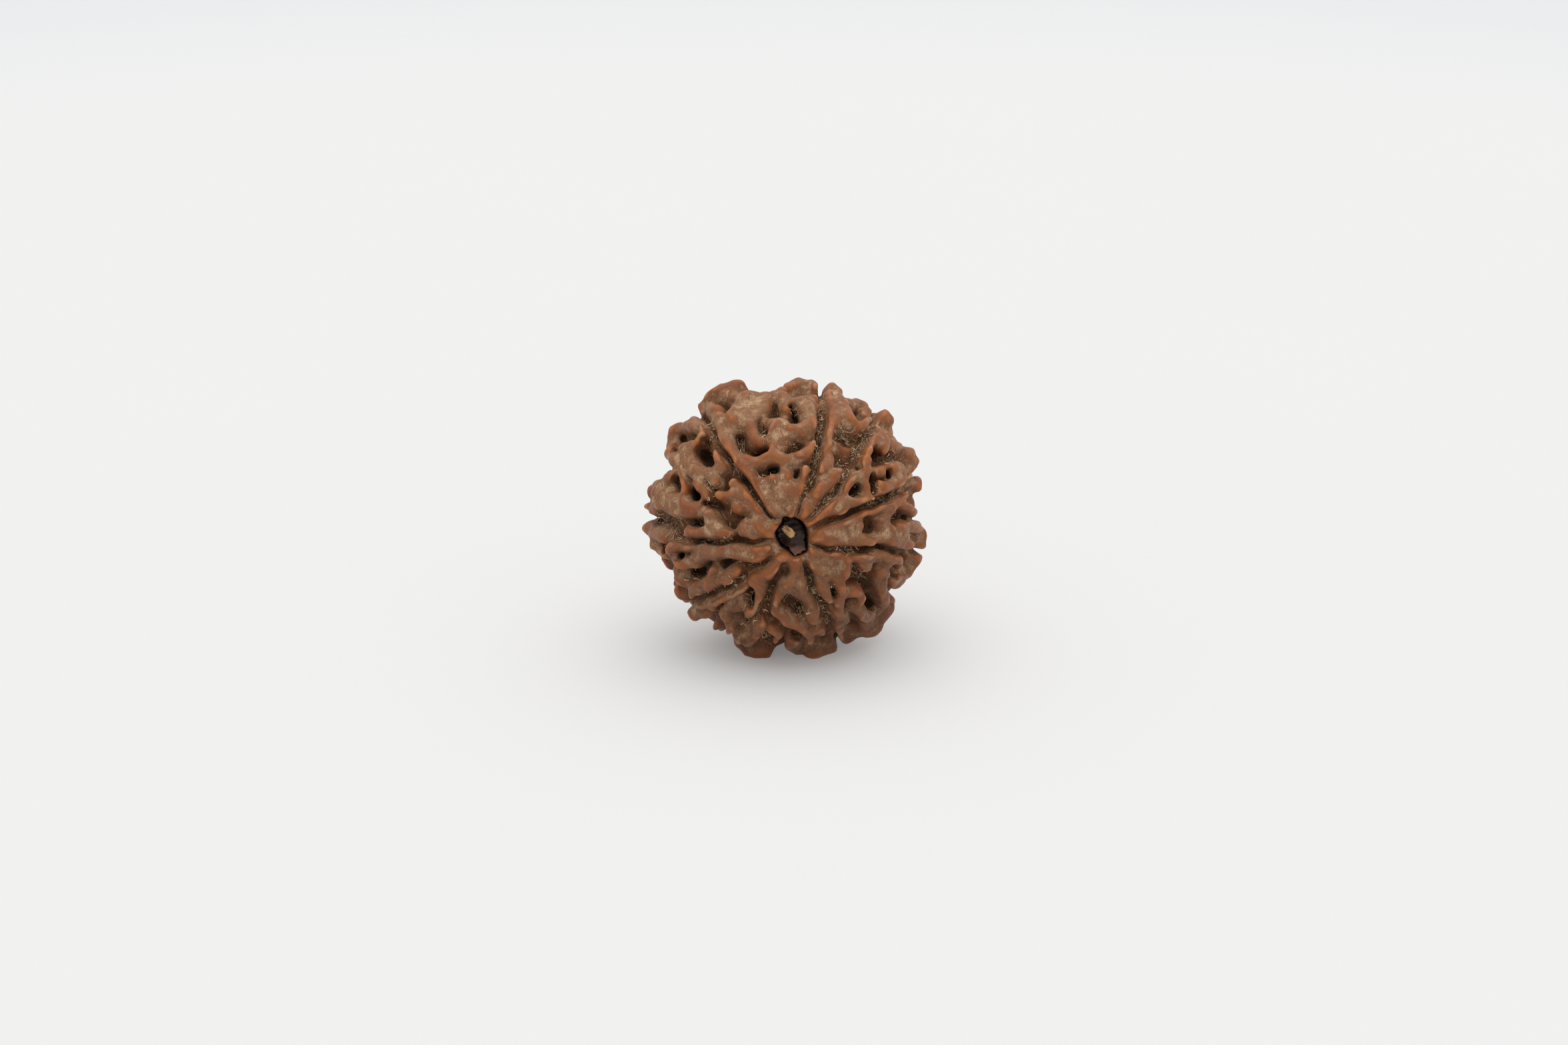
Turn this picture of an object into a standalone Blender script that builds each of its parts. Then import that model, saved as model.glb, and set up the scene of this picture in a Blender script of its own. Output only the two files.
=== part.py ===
"""A nine-grooved rudraksha seed lying on its side, its bore pointing forwards and a little up.

The stone is one solid: nine lobes between nine grooves, a raised net of ridges and horns with pits
between them, and a canal along its middle. A dried core sits back in the mouth of the canal with a
stub of strand on it. Lengths below are in millimetres; the meshes are made in metres, +Z up.

Ridges, pits and grooves of the front are drawn as they are seen from in front and a little above:
u to the right and v upwards from the middle of the seed. They are then laid on the rounded body.
The far side follows a seeded rule with the same kinds of ridge.
"""
import math
import bpy
import numpy as np

MM = 0.001
HALF_ACROSS = 12.1      # crest surface, half size across the bore
HALF_ALONG = 9.9        # crest surface, half size along the bore
FLOOR_BELOW = 11.74     # from the middle of the seed down to the plane it rests on
BORE_TILT = 8.3         # degrees the bore points up
VIEW_SIDE = -4.0        # degrees, the direction the face is drawn from
VIEW_UP = 20.0
VIEW_FAR = 347.0        # how far away the eye is for that drawing
CELL = 0.25             # size of the sampling grid
STONE_FACES = 11600     # triangles the stone is brought down to
BASE = -1.60            # general level of the body under the crest surface
MOUTH_BASE = -0.80      # the same close round the mouth
MOUTH_REACH = (12.0, 28.0)      # degrees from the bore over which one level turns into the other
SLOPE = 0.18            # how far the side of a ridge leans out for its height
OUTLINE_BACK = 1.3      # knobs of the outline stand this far behind the rim
GAP = 0.42              # room round the pith, about 0.3 once the mouth's edges are eased
MOUTH_FLOOR = 5.4       # how far forward the floor of the mouth is, along the bore
MOUTH_EDGE = 8.8        # below this the mouth narrows
MOUTH_TAPER = 0.10
PITH_TOP = 7.95         # middle of the pith's face, along the bore
STRAND_R = 0.36
STRAND_ENDS = [(-0.05, -0.80, 8.5), (0.62, -1.38, 9.0)]     # seen at (u, v), and how far forward
CANAL_R = 0.95          # canal behind the core
BACK_R = 0.75           # opening at the far end
FAR_FROM = -0.8         # the far side's net starts this far behind the rim
RIM_DROP = 0.75         # it is this much lower at the rim
RIM_FADE = 4.0          # and back at its own height this far behind it
FAR_CELL = 1.7          # least distance between the knots of that net
FAR_WIDTHS = (0.34, 0.58)       # half widths of its ridges
FAR_TOPS = (-0.28, 0.1)         # heights of their tops against the crest surface
FAR_PITS = 26
HOLE_LEAN = (0.36, 0.4)         # lean of a pit towards the eye, at the middle and added at the edge
GROOVE_WIDTHS = ([0.0, 0.15, 0.45, 0.8, 1.0], [0.45, 0.62, 0.85, 0.8, 0.6])     # along a groove
GROOVE_DEPTHS = ([0.0, 0.2, 0.5, 0.8, 1.0], [0.45, 0.62, 0.95, 0.7, 0.32])
SEED = 9

# Mouth of the canal, seen from the front.
MOUTH = [(-0.1, 0.0), (0.9, -0.1), (1.6, -0.4), (2.1, -1.1), (2.2, -1.7), (2.2, -3.2),
         (0.9, -3.7), (0.4, -3.2), (-0.3, -2.9), (-0.7, -2.1), (-0.9, -1.3), (-0.2, -0.7)]

# Grooves between the lobes: half width, depth, then the line from the mouth out to the edge.
GROOVES = [
    (0.30, 1.9, (-0.7, -0.2), (-1.2, 0.3), (-1.9, 1.1), (-2.6, 2.0), (-3.2, 3.0), (-3.9, 3.7),
     (-4.5, 4.5), (-5.0, 5.4), (-5.7, 6.3), (-6.2, 7.2), (-6.7, 8.1), (-7.3, 8.9), (-7.9, 9.4)),
    (0.30, 1.9, (1.0, 0.2), (1.4, 1.2), (1.8, 2.3), (2.2, 3.4), (2.6, 4.4), (2.8, 5.4),
     (3.0, 6.6), (3.1, 7.6), (3.3, 8.6), (3.4, 9.6), (3.3, 10.6), (3.2, 11.6), (3.2, 11.9)),
    (0.30, 1.9, (2.1, -0.2), (3.0, 0.7), (3.7, 1.5), (4.4, 2.3), (5.0, 3.2), (5.7, 4.1),
     (6.1, 4.9), (6.4, 5.8), (6.9, 6.6), (7.4, 7.5), (7.7, 8.3), (7.7, 9.0), (7.6, 9.6)),
    (0.36, 1.9, (2.5, -0.8), (3.6, -0.3), (4.8, 0.2), (6.0, 0.6), (7.2, 1.1), (8.2, 1.5),
     (9.1, 1.8), (9.9, 2.2), (10.6, 2.8), (11.2, 3.4), (11.6, 4.1)),
    (0.28, 1.8, (2.5, -2.3), (3.6, -2.6), (5.0, -2.8), (6.2, -2.7), (7.3, -2.7), (8.3, -2.5),
     (9.2, -2.8), (10.3, -3.0), (11.3, -2.9), (12.1, -2.7)),
    (0.30, 1.9, (1.6, -4.1), (1.9, -4.9), (2.4, -5.8), (2.9, -6.6), (3.3, -7.4), (3.7, -8.3),
     (3.9, -9.2), (4.3, -10.0), (4.7, -10.7), (5.0, -11.3)),
    (0.30, 1.8, (-0.3, -3.9), (-0.8, -5.0), (-1.1, -6.0), (-1.5, -6.9), (-1.8, -7.8), (-2.3, -8.6),
     (-2.9, -9.2), (-3.6, -9.5), (-4.3, -10.1)),
    (0.30, 1.9, (-1.2, -3.5), (-2.3, -4.1), (-3.3, -4.8), (-4.1, -5.5), (-5.0, -6.0), (-6.0, -6.5),
     (-7.0, -7.0), (-8.0, -7.4), (-8.8, -7.5), (-9.4, -7.3)),
    (0.26, 1.8, (-1.2, -1.8), (-2.4, -1.9), (-3.8, -2.0), (-4.9, -1.9), (-6.0, -2.1), (-7.4, -2.1),
     (-8.8, -1.9), (-9.7, -1.5), (-10.5, -0.7), (-11.4, 0.0), (-12.2, 0.5)),
]

# Ridges, horns and swells: half width, height of the top against the crest surface, then the line.
RIDGES = [
    # upper lobe, wedge beside the mouth
    (0.42, 0.00, (-2.9, 3.2), (-2.3, 2.3), (-1.6, 1.5), (-0.9, 0.6)),
    (0.38, 0.00, (1.9, 4.3), (1.7, 3.4), (1.4, 2.4), (1.1, 1.4), (0.8, 0.4)),
    (0.95, -0.25, (-1.3, 2.3), (-0.2, 2.2), (0.8, 2.5)),
    (0.75, -0.25, (-0.4, 1.1), (0.5, 1.1)),
    (0.50, -0.25, (-0.2, 3.3), (0.1, 4.0), (-0.2, 4.8), (-0.3, 5.4)),
    (0.35, -0.15, (-2.2, 3.4), (-1.6, 3.3), (-1.0, 3.5)),
    # upper lobe, left shoulder and the rims of its pits
    (0.55, 0.05, (-5.8, 8.5), (-5.5, 7.4), (-5.0, 6.4), (-4.6, 5.7), (-4.1, 5.0), (-3.7, 4.4), (-3.3, 3.9)),
    (0.45, 0.00, (-4.1, 5.3), (-3.4, 5.3), (-2.6, 5.2), (-2.0, 5.5), (-1.4, 6.0)),
    (0.45, 0.05, (-1.4, 5.8), (-0.6, 5.4), (0.4, 5.4), (1.3, 5.6), (2.1, 6.1), (2.6, 6.8)),
    (0.80, -0.15, (-1.0, 6.3), (-0.8, 7.3), (-0.5, 8.2)),
    (0.40, -0.15, (-3.1, 8.4), (-3.0, 7.5), (-2.4, 6.9), (-1.6, 6.9)),
    (0.60, -0.30, (-1.2, 8.8), (-0.3, 8.8), (0.2, 8.0), (-0.1, 7.0)),
    # upper lobe, broad smooth swell up to the edge
    (1.20, 0.05, (-4.5, 9.1), (-4.0, 10.1), (-3.3, 10.7)),
    (0.95, -0.05, (-3.4, 9.2), (-2.4, 9.9), (-2.2, 10.5)),
    (0.55, 0.05, (-6.4, 9.1), (-5.6, 8.9), (-4.8, 8.8)),
    (0.50, 0.00, (-7.3, 9.7), (-6.8, 9.9), (-6.3, 9.7)),
    (0.50, 0.00, (-7.4, 10.1), (-6.9, 11.0), (-6.2, 11.7), (-5.3, 12.1), (-4.2, 12.1)),
    (0.42, 0.20, (-5.5, 11.2), (-4.8, 11.2), (-3.9, 10.9)),
    (0.60, -0.10, (-3.2, 11.2), (-2.2, 10.9), (-1.2, 11.1), (-0.3, 11.5)),
    # upper lobe, right hand mass
    (0.45, 0.05, (-0.1, 11.0), (0.2, 10.5), (0.2, 10.1)),
    (0.45, 0.05, (0.7, 10.7), (1.6, 10.7), (2.6, 10.8)),
    (0.65, 0.05, (2.3, 10.3), (2.1, 9.6), (2.4, 8.9), (1.9, 8.3)),
    (0.45, 0.05, (2.4, 8.6), (1.4, 8.2), (0.6, 8.2)),
    (0.60, 0.00, (0.6, 12.2), (1.2, 12.5), (1.9, 12.2)),
    (0.32, 0.00, (2.6, 12.3), (2.8, 11.8)),
    # second lobe
    (0.55, -0.05, (1.8, 0.5), (2.4, 1.4), (3.0, 2.3), (3.6, 3.1)),
    (0.45, 0.00, (3.6, 3.1), (4.3, 3.7), (4.9, 4.2)),
    (0.42, 0.00, (3.2, 4.1), (3.6, 4.8), (4.1, 5.4), (4.0, 6.2), (3.8, 7.0), (3.9, 7.8), (4.2, 8.6),
     (4.5, 9.4), (4.4, 10.2), (4.0, 10.9), (3.9, 11.8)),
    (0.60, 0.00, (3.8, 11.9), (4.3, 11.9)),
    (0.55, 0.00, (4.7, 9.0), (5.0, 9.6), (4.9, 10.2)),
    (0.45, 0.00, (4.5, 11.9), (4.9, 11.1), (5.3, 10.3), (5.5, 9.5), (5.6, 8.9)),
    (0.80, -0.85, (4.5, 6.4), (5.3, 6.2), (6.0, 5.6)),
    (0.42, 0.00, (5.8, 9.6), (5.9, 8.8), (6.6, 8.4), (7.3, 8.5), (7.6, 8.9)),
    (0.42, 0.00, (5.9, 10.4), (6.5, 10.5), (7.3, 10.2), (7.3, 9.5)),
    # third lobe
    (0.48, 0.00, (2.5, -0.4), (3.4, 0.5), (4.3, 1.4), (5.0, 2.2), (5.7, 3.1), (6.3, 3.8)),
    (0.48, -0.08, (3.3, -0.1), (4.3, 0.6), (5.3, 1.0)),
    (0.42, 0.00, (5.2, 1.4), (6.1, 1.5), (7.0, 1.6), (7.6, 1.9), (7.4, 2.8), (7.1, 3.6), (7.1, 4.3)),
    (0.40, 0.00, (7.1, 4.3), (8.0, 4.2), (8.8, 4.4)),
    (0.70, 0.10, (8.4, 2.9), (9.0, 2.6), (9.8, 2.8), (10.4, 3.4), (10.8, 4.1), (10.4, 4.6), (9.7, 4.6)),
    (0.42, 0.20, (6.9, 4.9), (7.4, 5.3)),
    (0.52, 0.10, (7.5, 6.2), (7.9, 6.7), (8.4, 7.2), (8.8, 7.6), (9.1, 7.1), (8.9, 6.6)),
    (0.60, 0.00, (8.2, 9.6), (9.0, 9.6), (9.4, 8.9), (9.5, 8.0), (9.6, 7.1)),
    (0.38, 0.00, (8.1, 9.1), (8.2, 8.4), (8.5, 8.0)),
    (0.62, 0.00, (9.9, 6.5), (10.7, 6.3), (11.4, 5.9), (11.9, 5.3), (11.6, 4.6)),
    # fourth lobe
    (0.42, -0.05, (3.3, -1.5), (4.6, -0.9), (5.8, -0.1), (7.0, 0.5), (8.2, 0.9), (9.2, 1.1), (10.0, 1.7),
     (10.7, 2.3)),
    (0.42, 0.00, (2.9, -2.0), (4.2, -1.9), (6.0, -1.9), (7.3, -2.1), (8.0, -2.2)),
    (0.75, -0.25, (4.4, -1.5), (5.6, -1.1), (6.6, -0.8)),
    (0.50, -0.10, (9.9, 1.2), (9.4, 0.4), (9.2, -0.4), (9.6, -1.1)),
    (0.38, 0.00, (10.3, 1.6), (11.0, 1.1), (11.7, 0.6)),
    (0.34, 0.10, (11.0, 2.4), (11.4, 3.0)),
    (0.45, 0.00, (11.3, 3.4), (12.0, 3.5), (11.9, 2.9)),
    (0.68, 0.05, (9.2, -1.9), (10.2, -1.7), (11.0, -1.9)),
    (0.50, 0.00, (10.6, -0.8), (11.4, -0.7), (12.0, -0.9), (12.4, -1.3), (12.2, -2.2)),
    (0.40, 0.00, (8.7, -2.2), (9.8, -2.5), (11.2, -2.5)),
    # fifth lobe
    (0.42, 0.00, (2.6, -3.0), (3.8, -3.2), (5.0, -3.3), (5.6, -3.6)),
    (0.85, -0.15, (2.9, -3.8), (3.8, -4.4), (4.7, -4.9)),
    (0.65, -0.15, (4.4, -3.9), (5.3, -4.2), (5.3, -5.0)),
    (0.50, 0.00, (3.0, -4.6), (3.4, -5.6), (3.7, -6.6), (3.9, -7.3)),
    (0.45, 0.00, (4.8, -5.6), (5.1, -6.8), (5.0, -7.8), (4.8, -8.7), (4.8, -9.5), (5.1, -10.2)),
    (0.42, 0.00, (5.2, -9.0), (5.4, -9.5)),
    (0.48, 0.05, (6.5, -3.4), (7.5, -3.4), (8.6, -3.4), (9.6, -3.6), (10.4, -3.9), (10.5, -4.2)),
    (0.42, 0.00, (7.1, -3.7), (7.5, -4.4)),
    (0.40, 0.00, (9.0, -3.7), (9.3, -4.2)),
    (0.60, 0.00, (9.2, -4.9), (9.1, -6.0), (9.0, -7.0), (8.9, -8.0)),
    (0.50, 0.00, (12.4, -3.0), (11.9, -3.9), (11.4, -4.7), (10.9, -5.4), (10.1, -5.8)),
    (0.42, 0.05, (6.1, -6.8), (6.8, -6.9), (6.9, -7.6), (6.4, -8.2)),
    (0.42, 0.00, (6.4, -8.3), (7.2, -8.8), (8.0, -8.8), (8.5, -8.5)),
    (0.62, 0.00, (7.4, -9.5), (8.2, -9.2)),
    (0.45, 0.00, (6.9, -10.3), (7.6, -10.4), (8.4, -9.9)),
    (0.50, 0.00, (9.6, -7.6), (9.4, -8.3), (8.9, -9.1)),
    (0.60, 0.05, (5.0, -10.9), (5.5, -11.1), (6.0, -10.9)),
    # sixth lobe
    (0.62, 0.00, (0.9, -4.3), (1.0, -5.1), (1.2, -5.9)),
    (0.42, 0.00, (0.5, -5.7), (0.0, -6.5), (-0.5, -7.2), (-0.9, -7.8)),
    (0.44, 0.00, (1.4, -6.2), (1.9, -7.2), (2.4, -8.2), (2.6, -8.8)),
    (0.62, 0.05, (2.6, -8.8), (2.6, -9.2)),
    (0.40, -0.15, (0.2, -6.4), (1.0, -6.9), (1.6, -7.0)),
    (0.42, 0.00, (-0.8, -8.5), (0.1, -9.2), (1.2, -9.7), (2.0, -10.2), (2.3, -11.0)),
    (0.42, 0.00, (2.4, -10.3), (3.2, -10.2), (3.8, -10.3)),
    (0.62, 0.00, (0.7, -11.4), (1.7, -12.2), (3.0, -12.5), (4.2, -12.1), (4.5, -11.3)),
    (0.48, 0.00, (-2.2, -9.7), (-2.8, -10.6), (-3.3, -11.4)),
    (0.55, 0.00, (-3.7, -11.8), (-2.7, -12.2), (-1.8, -11.8)),
    (0.45, 0.00, (-3.9, -10.4), (-4.2, -10.9), (-3.9, -11.6)),
    (0.38, -0.20, (-1.2, -10.0), (-0.6, -10.4), (-0.8, -11.0)),
    # seventh lobe
    (0.58, 0.00, (-0.3, -3.8), (-1.2, -4.7), (-2.1, -5.4), (-2.8, -5.9)),
    (0.48, 0.00, (-2.3, -5.7), (-2.2, -6.6), (-2.5, -7.7), (-3.1, -8.7)),
    (0.44, 0.00, (-4.0, -6.4), (-4.9, -6.8), (-5.7, -7.3), (-6.4, -7.7)),
    (0.80, -0.35, (-4.8, -8.2), (-4.2, -7.9)),
    (0.34, 0.00, (-5.3, -9.1), (-4.9, -9.9)),
    (0.40, 0.00, (-5.5, -8.6), (-5.2, -9.1)),
    (0.55, 0.00, (-8.5, -8.1), (-8.0, -8.5), (-7.4, -8.6)),
    (0.45, 0.00, (-8.2, -7.9), (-7.2, -7.8), (-6.6, -8.1)),
    # eighth lobe
    (0.36, 0.00, (-1.5, -2.6), (-2.8, -2.7), (-4.2, -2.7), (-5.4, -2.8)),
    (0.36, 0.00, (-2.0, -3.4), (-3.2, -3.6), (-4.4, -3.4), (-5.6, -3.2)),
    (0.50, -0.15, (-2.0, -3.0), (-3.4, -3.1), (-4.8, -3.1)),
    (0.50, 0.00, (-5.9, -3.0), (-7.2, -2.7), (-8.6, -2.5), (-9.8, -2.3)),
    (0.50, 0.00, (-6.4, -3.3), (-7.6, -3.4), (-8.4, -4.0), (-9.2, -4.0), (-9.9, -3.6), (-10.2, -2.9),
     (-9.9, -2.4)),
    (0.42, 0.00, (-11.9, -1.9), (-11.6, -2.6), (-11.1, -3.1), (-10.7, -3.3)),
    (0.55, 0.00, (-12.4, -0.9), (-11.7, -1.4), (-11.0, -1.8)),
    (0.55, -0.15, (-4.3, -4.9), (-5.2, -5.3), (-6.2, -5.8), (-7.4, -6.3), (-8.3, -6.8)),
    (0.32, -0.15, (-6.5, -4.6), (-6.8, -5.5)),
    (0.32, -0.05, (-8.1, -6.2), (-8.5, -6.8)),
    (0.50, 0.00, (-9.9, -4.8), (-9.6, -5.4), (-9.0, -5.9)),
    (0.50, 0.00, (-9.7, -6.6), (-9.3, -7.1)),
    # ninth lobe, beside the mouth
    (0.70, -0.10, (-1.5, -0.9), (-2.6, -0.8), (-3.6, -0.9)),
    (0.38, 0.00, (-1.5, -1.4), (-2.8, -1.5), (-3.9, -1.5)),
    (0.70, -0.18, (-1.4, -0.2), (-2.4, 0.5), (-3.5, 1.1), (-4.4, 1.3)),
    (0.42, 0.00, (-1.6, 0.4), (-2.4, 1.2), (-3.3, 2.1), (-4.0, 2.8), (-4.6, 3.3)),
    (0.38, 0.00, (-4.0, 2.1), (-5.0, 2.2), (-5.8, 2.1)),
    (0.45, 0.00, (-5.2, -1.3), (-6.2, -1.4), (-7.6, -1.4), (-8.8, -1.1)),
    (0.55, -0.05, (-5.8, -1.0), (-6.6, -0.5), (-7.0, 0.2)),
    # ninth lobe, left hand plate and its pits
    (0.65, 0.00, (-11.5, 2.2), (-10.4, 1.9), (-9.4, 1.4), (-8.5, 0.9)),
    (0.42, 0.05, (-11.7, 1.4), (-10.3, 1.0), (-9.2, 0.6), (-8.4, 0.4)),
    (0.38, -0.10, (-8.1, 0.7), (-7.6, 1.3), (-7.4, 2.0), (-7.5, 2.7), (-7.9, 3.2)),
    (0.26, -0.05, (-9.3, 4.7), (-9.1, 3.4), (-9.0, 2.6), (-9.1, 2.1)),
    (0.50, 0.00, (-12.1, 2.4), (-11.5, 3.0), (-10.8, 3.4), (-10.2, 3.9)),
    (0.42, 0.00, (-12.4, 1.0), (-11.6, 0.8)),
    (0.50, 0.00, (-8.3, 9.0), (-7.7, 9.3)),
    # ninth lobe, rings round the deep pits
    (0.55, 0.05, (-9.3, 6.1), (-8.8, 5.3), (-8.4, 4.5), (-7.5, 4.2), (-6.8, 4.0), (-6.4, 3.5)),
    (0.42, 0.00, (-6.2, 6.3), (-5.9, 5.5), (-5.6, 4.9), (-6.3, 4.5)),
    (0.42, 0.00, (-9.2, 6.4), (-8.5, 6.5), (-7.9, 6.4), (-7.5, 7.1), (-7.3, 7.9), (-7.5, 8.5), (-8.2, 8.8)),
    (0.55, 0.30, (-10.1, 8.0), (-9.3, 8.3), (-8.4, 8.3)),
    (0.48, 0.00, (-10.3, 7.6), (-10.4, 6.6), (-10.2, 5.7), (-9.9, 5.1)),
]

# Wide hollows sunk before the ridges: half width, depth, then the line.
HOLLOWS = [
    (0.60, 1.5, (-3.9, 5.9), (-2.9, 6.0), (-2.2, 6.1)),
    (0.60, 1.5, (1.0, 7.1), (2.2, 7.4)),
    (0.50, 1.4, (0.6, 4.8), (1.7, 4.9)),
    (0.65, 2.1, (4.8, 7.9), (5.5, 7.5), (6.3, 7.5)),
    (0.50, 1.6, (4.7, 5.5), (5.4, 5.0)),
    (0.55, 1.8, (8.3, 6.0), (8.6, 5.4), (9.4, 5.8)),
    (0.90, 1.9, (6.6, -4.9), (7.9, -5.1), (7.5, -6.1), (6.5, -5.8), (5.9, -5.9)),
    (0.60, 2.0, (-0.2, -7.7), (0.7, -8.1), (1.5, -8.4)),
    (0.50, 1.5, (-4.0, -4.1), (-5.5, -4.2), (-6.8, -4.3)),
    (0.50, 1.6, (-5.0, 1.3), (-6.0, 1.2), (-6.8, 1.2)),
    (0.45, 1.6, (-7.0, 3.2), (-6.6, 3.1), (-6.1, 2.9)),
    (0.55, 1.2, (-6.1, 10.6), (-5.7, 10.0)),
    (0.70, 1.6, (-7.6, -5.0), (-8.3, -5.0)),
    (0.40, 1.1, (5.9, -8.4), (5.9, -9.0)),
]

# Pits cut after the ridges: half width, depth, then the line.
PITS = [
    (0.32, 2.0, (-4.1, 7.4), (-4.0, 6.5)),
    (0.36, 2.1, (-2.7, 5.95), (-1.7, 6.15)),
    (0.38, 2.0, (-1.2, 4.5), (-0.8, 4.5)),
    (0.30, 0.9, (-2.3, 8.7), (-2.1, 8.2)),
    (0.28, 1.9, (0.5, 10.0), (0.8, 9.6), (1.1, 9.0)),
    (0.22, 1.3, (-1.1, 9.7), (-1.2, 9.4)),
    (0.30, 1.5, (0.6, 11.3), (0.9, 11.2)),
    (0.40, 1.1, (6.3, 9.4), (6.5, 9.3)),
    (0.42, 1.4, (6.1, 2.3), (6.5, 2.8)),
    (0.34, 1.5, (7.8, 3.8), (7.9, 3.1), (7.9, 2.4)),
    (0.30, 1.8, (9.3, 4.2), (9.4, 3.8)),
    (0.40, 2.1, (8.1, 6.1), (8.4, 5.7)),
    (0.30, 1.9, (9.4, 5.8), (9.5, 5.6)),
    (0.50, 1.4, (7.6, -0.3), (7.8, -0.9)),
    (0.32, 1.6, (10.4, 0.3), (10.9, 0.1)),
    (0.34, 1.9, (9.8, -5.1), (10.0, -5.2)),
    (0.20, 1.2, (9.7, -4.3), (9.8, -4.3)),
    (0.28, 1.5, (4.3, -6.3), (4.5, -6.9)),
    (0.48, 2.2, (7.6, -7.4), (7.8, -8.0)),
    (0.42, 2.0, (0.9, -10.6), (1.6, -10.8)),
    (0.36, 1.6, (2.9, -11.0), (3.5, -11.0)),
    (0.32, 1.9, (-1.8, -10.3), (-1.7, -10.7)),
    (0.26, 1.9, (-3.2, -6.6), (-2.9, -7.2), (-3.0, -7.8)),
    (0.20, 1.6, (-5.6, -7.7), (-5.9, -8.0)),
    (0.32, 2.2, (-9.4, -3.4), (-9.3, -3.4)),
    (0.22, 1.6, (-10.8, -2.4), (-10.7, -3.0)),
    (0.46, 2.1, (-8.3, -5.0), (-7.8, -5.0)),
    (0.40, 1.9, (-8.2, -0.4), (-7.8, -0.4)),
    (0.30, 1.5, (-5.2, -0.5), (-4.8, -0.8)),
    (0.42, 2.3, (-8.3, 2.5), (-8.2, 2.0)),
    (0.46, 1.5, (-9.8, 3.5), (-9.5, 2.8)),
    (0.62, 2.4, (-7.5, 6.0), (-7.1, 5.4)),
    (0.42, 1.7, (-7.1, 6.9), (-7.2, 6.4)),
    (0.42, 1.7, (-9.2, 7.3), (-8.6, 7.2), (-8.2, 7.3)),
    (0.45, 1.5, (0.0, -7.6), (0.7, -8.0), (1.3, -8.4)),
    (0.28, 1.3, (6.6, 4.5), (6.4, 5.0)),
    (0.24, 1.5, (-9.9, 6.1), (-9.9, 5.9)),
    (0.30, 1.5, (-7.2, 1.4), (-6.7, 1.3)),
]

# Low swells it rests on: half width, height over the crest surface, then (x, y) spots under it.
FEET = [(0.9, 0.75, (2.6, -3.5), (3.7, -2.7)), (0.8, 0.75, (-2.6, -3.4), (-3.3, -2.9)),
        (0.9, 1.05, (-0.6, 3.4), (0.8, 3.2))]

# Notch between the two swells in front: half width, depth, then (x, y) spots over it.
NOTCH = (0.6, 0.85, (-0.5, -5.2), (-0.6, -3.6), (-0.4, -2.0))


def clear_scene():
    for ob in list(bpy.data.objects):
        bpy.data.objects.remove(ob, do_unlink=True)


def direction(side, up):
    a, e = math.radians(side), math.radians(up)
    back = np.array([math.sin(a) * math.cos(e), -math.cos(a) * math.cos(e), math.sin(e)])
    right = np.array([math.cos(a), math.sin(a), 0.0])
    return back, right, np.cross(back, right)


AXIS = direction(0.0, BORE_TILT)[0]
SIDE = np.array([1.0, 0.0, 0.0])
OVER = np.cross(AXIS, SIDE)
BACK, RIGHT, UP = direction(VIEW_SIDE, VIEW_UP)


def form(p, q, level=0.0):
    along = (p @ AXIS) * (q @ AXIS)
    return (p @ q - along) / (HALF_ACROSS + level) ** 2 + along / (HALF_ALONG + level) ** 2


def lay(u, v, level=0.0):
    """Place on the crest surface under what is seen at (u, v), and how far it tops that level."""
    eye = VIEW_FAR * BACK
    ray = u * RIGHT + v * UP - eye
    a, b, c = form(ray, ray, level), form(eye, ray, level), form(eye, eye, level) - 1.0
    t = (-b - math.sqrt(max(b * b - a * c, 0.0))) / a
    p = eye + t * ray
    beyond = math.sqrt(form(p, p, level)) - 1.0
    p += ray / VIEW_FAR * min(OUTLINE_BACK, 40.0 * max(beyond, 0.0))
    g = math.sqrt(form(p, p))
    return p / g, max((g - 1.0) * np.linalg.norm(p / g) - level, 0.0)


def polar(theta, phi):
    """Place on the crest surface by the angle from the bore and the angle round it, degrees."""
    t, f = math.radians(theta), math.radians(phi)
    return on_crest(math.cos(t) * AXIS + math.sin(t) * (math.cos(f) * SIDE + math.sin(f) * OVER))


def angles(p):
    f = math.degrees(math.atan2(p @ OVER, p @ SIDE))
    return math.degrees(math.acos(p @ AXIS / np.linalg.norm(p))), f


def ripple(x, y, z, length, seed, count=7):
    """Gentle seeded unevenness between about -1 and 1."""
    rng = np.random.default_rng(seed)
    out = 0.0
    for _ in range(count):
        d = rng.normal(size=3)
        d *= 2.0 * math.pi / (length * rng.uniform(0.7, 1.4)) / np.linalg.norm(d)
        out = out + np.sin(x * d[0] + y * d[1] + z * d[2] + rng.uniform(0, 6.28))
    return out / math.sqrt(count)


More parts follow.
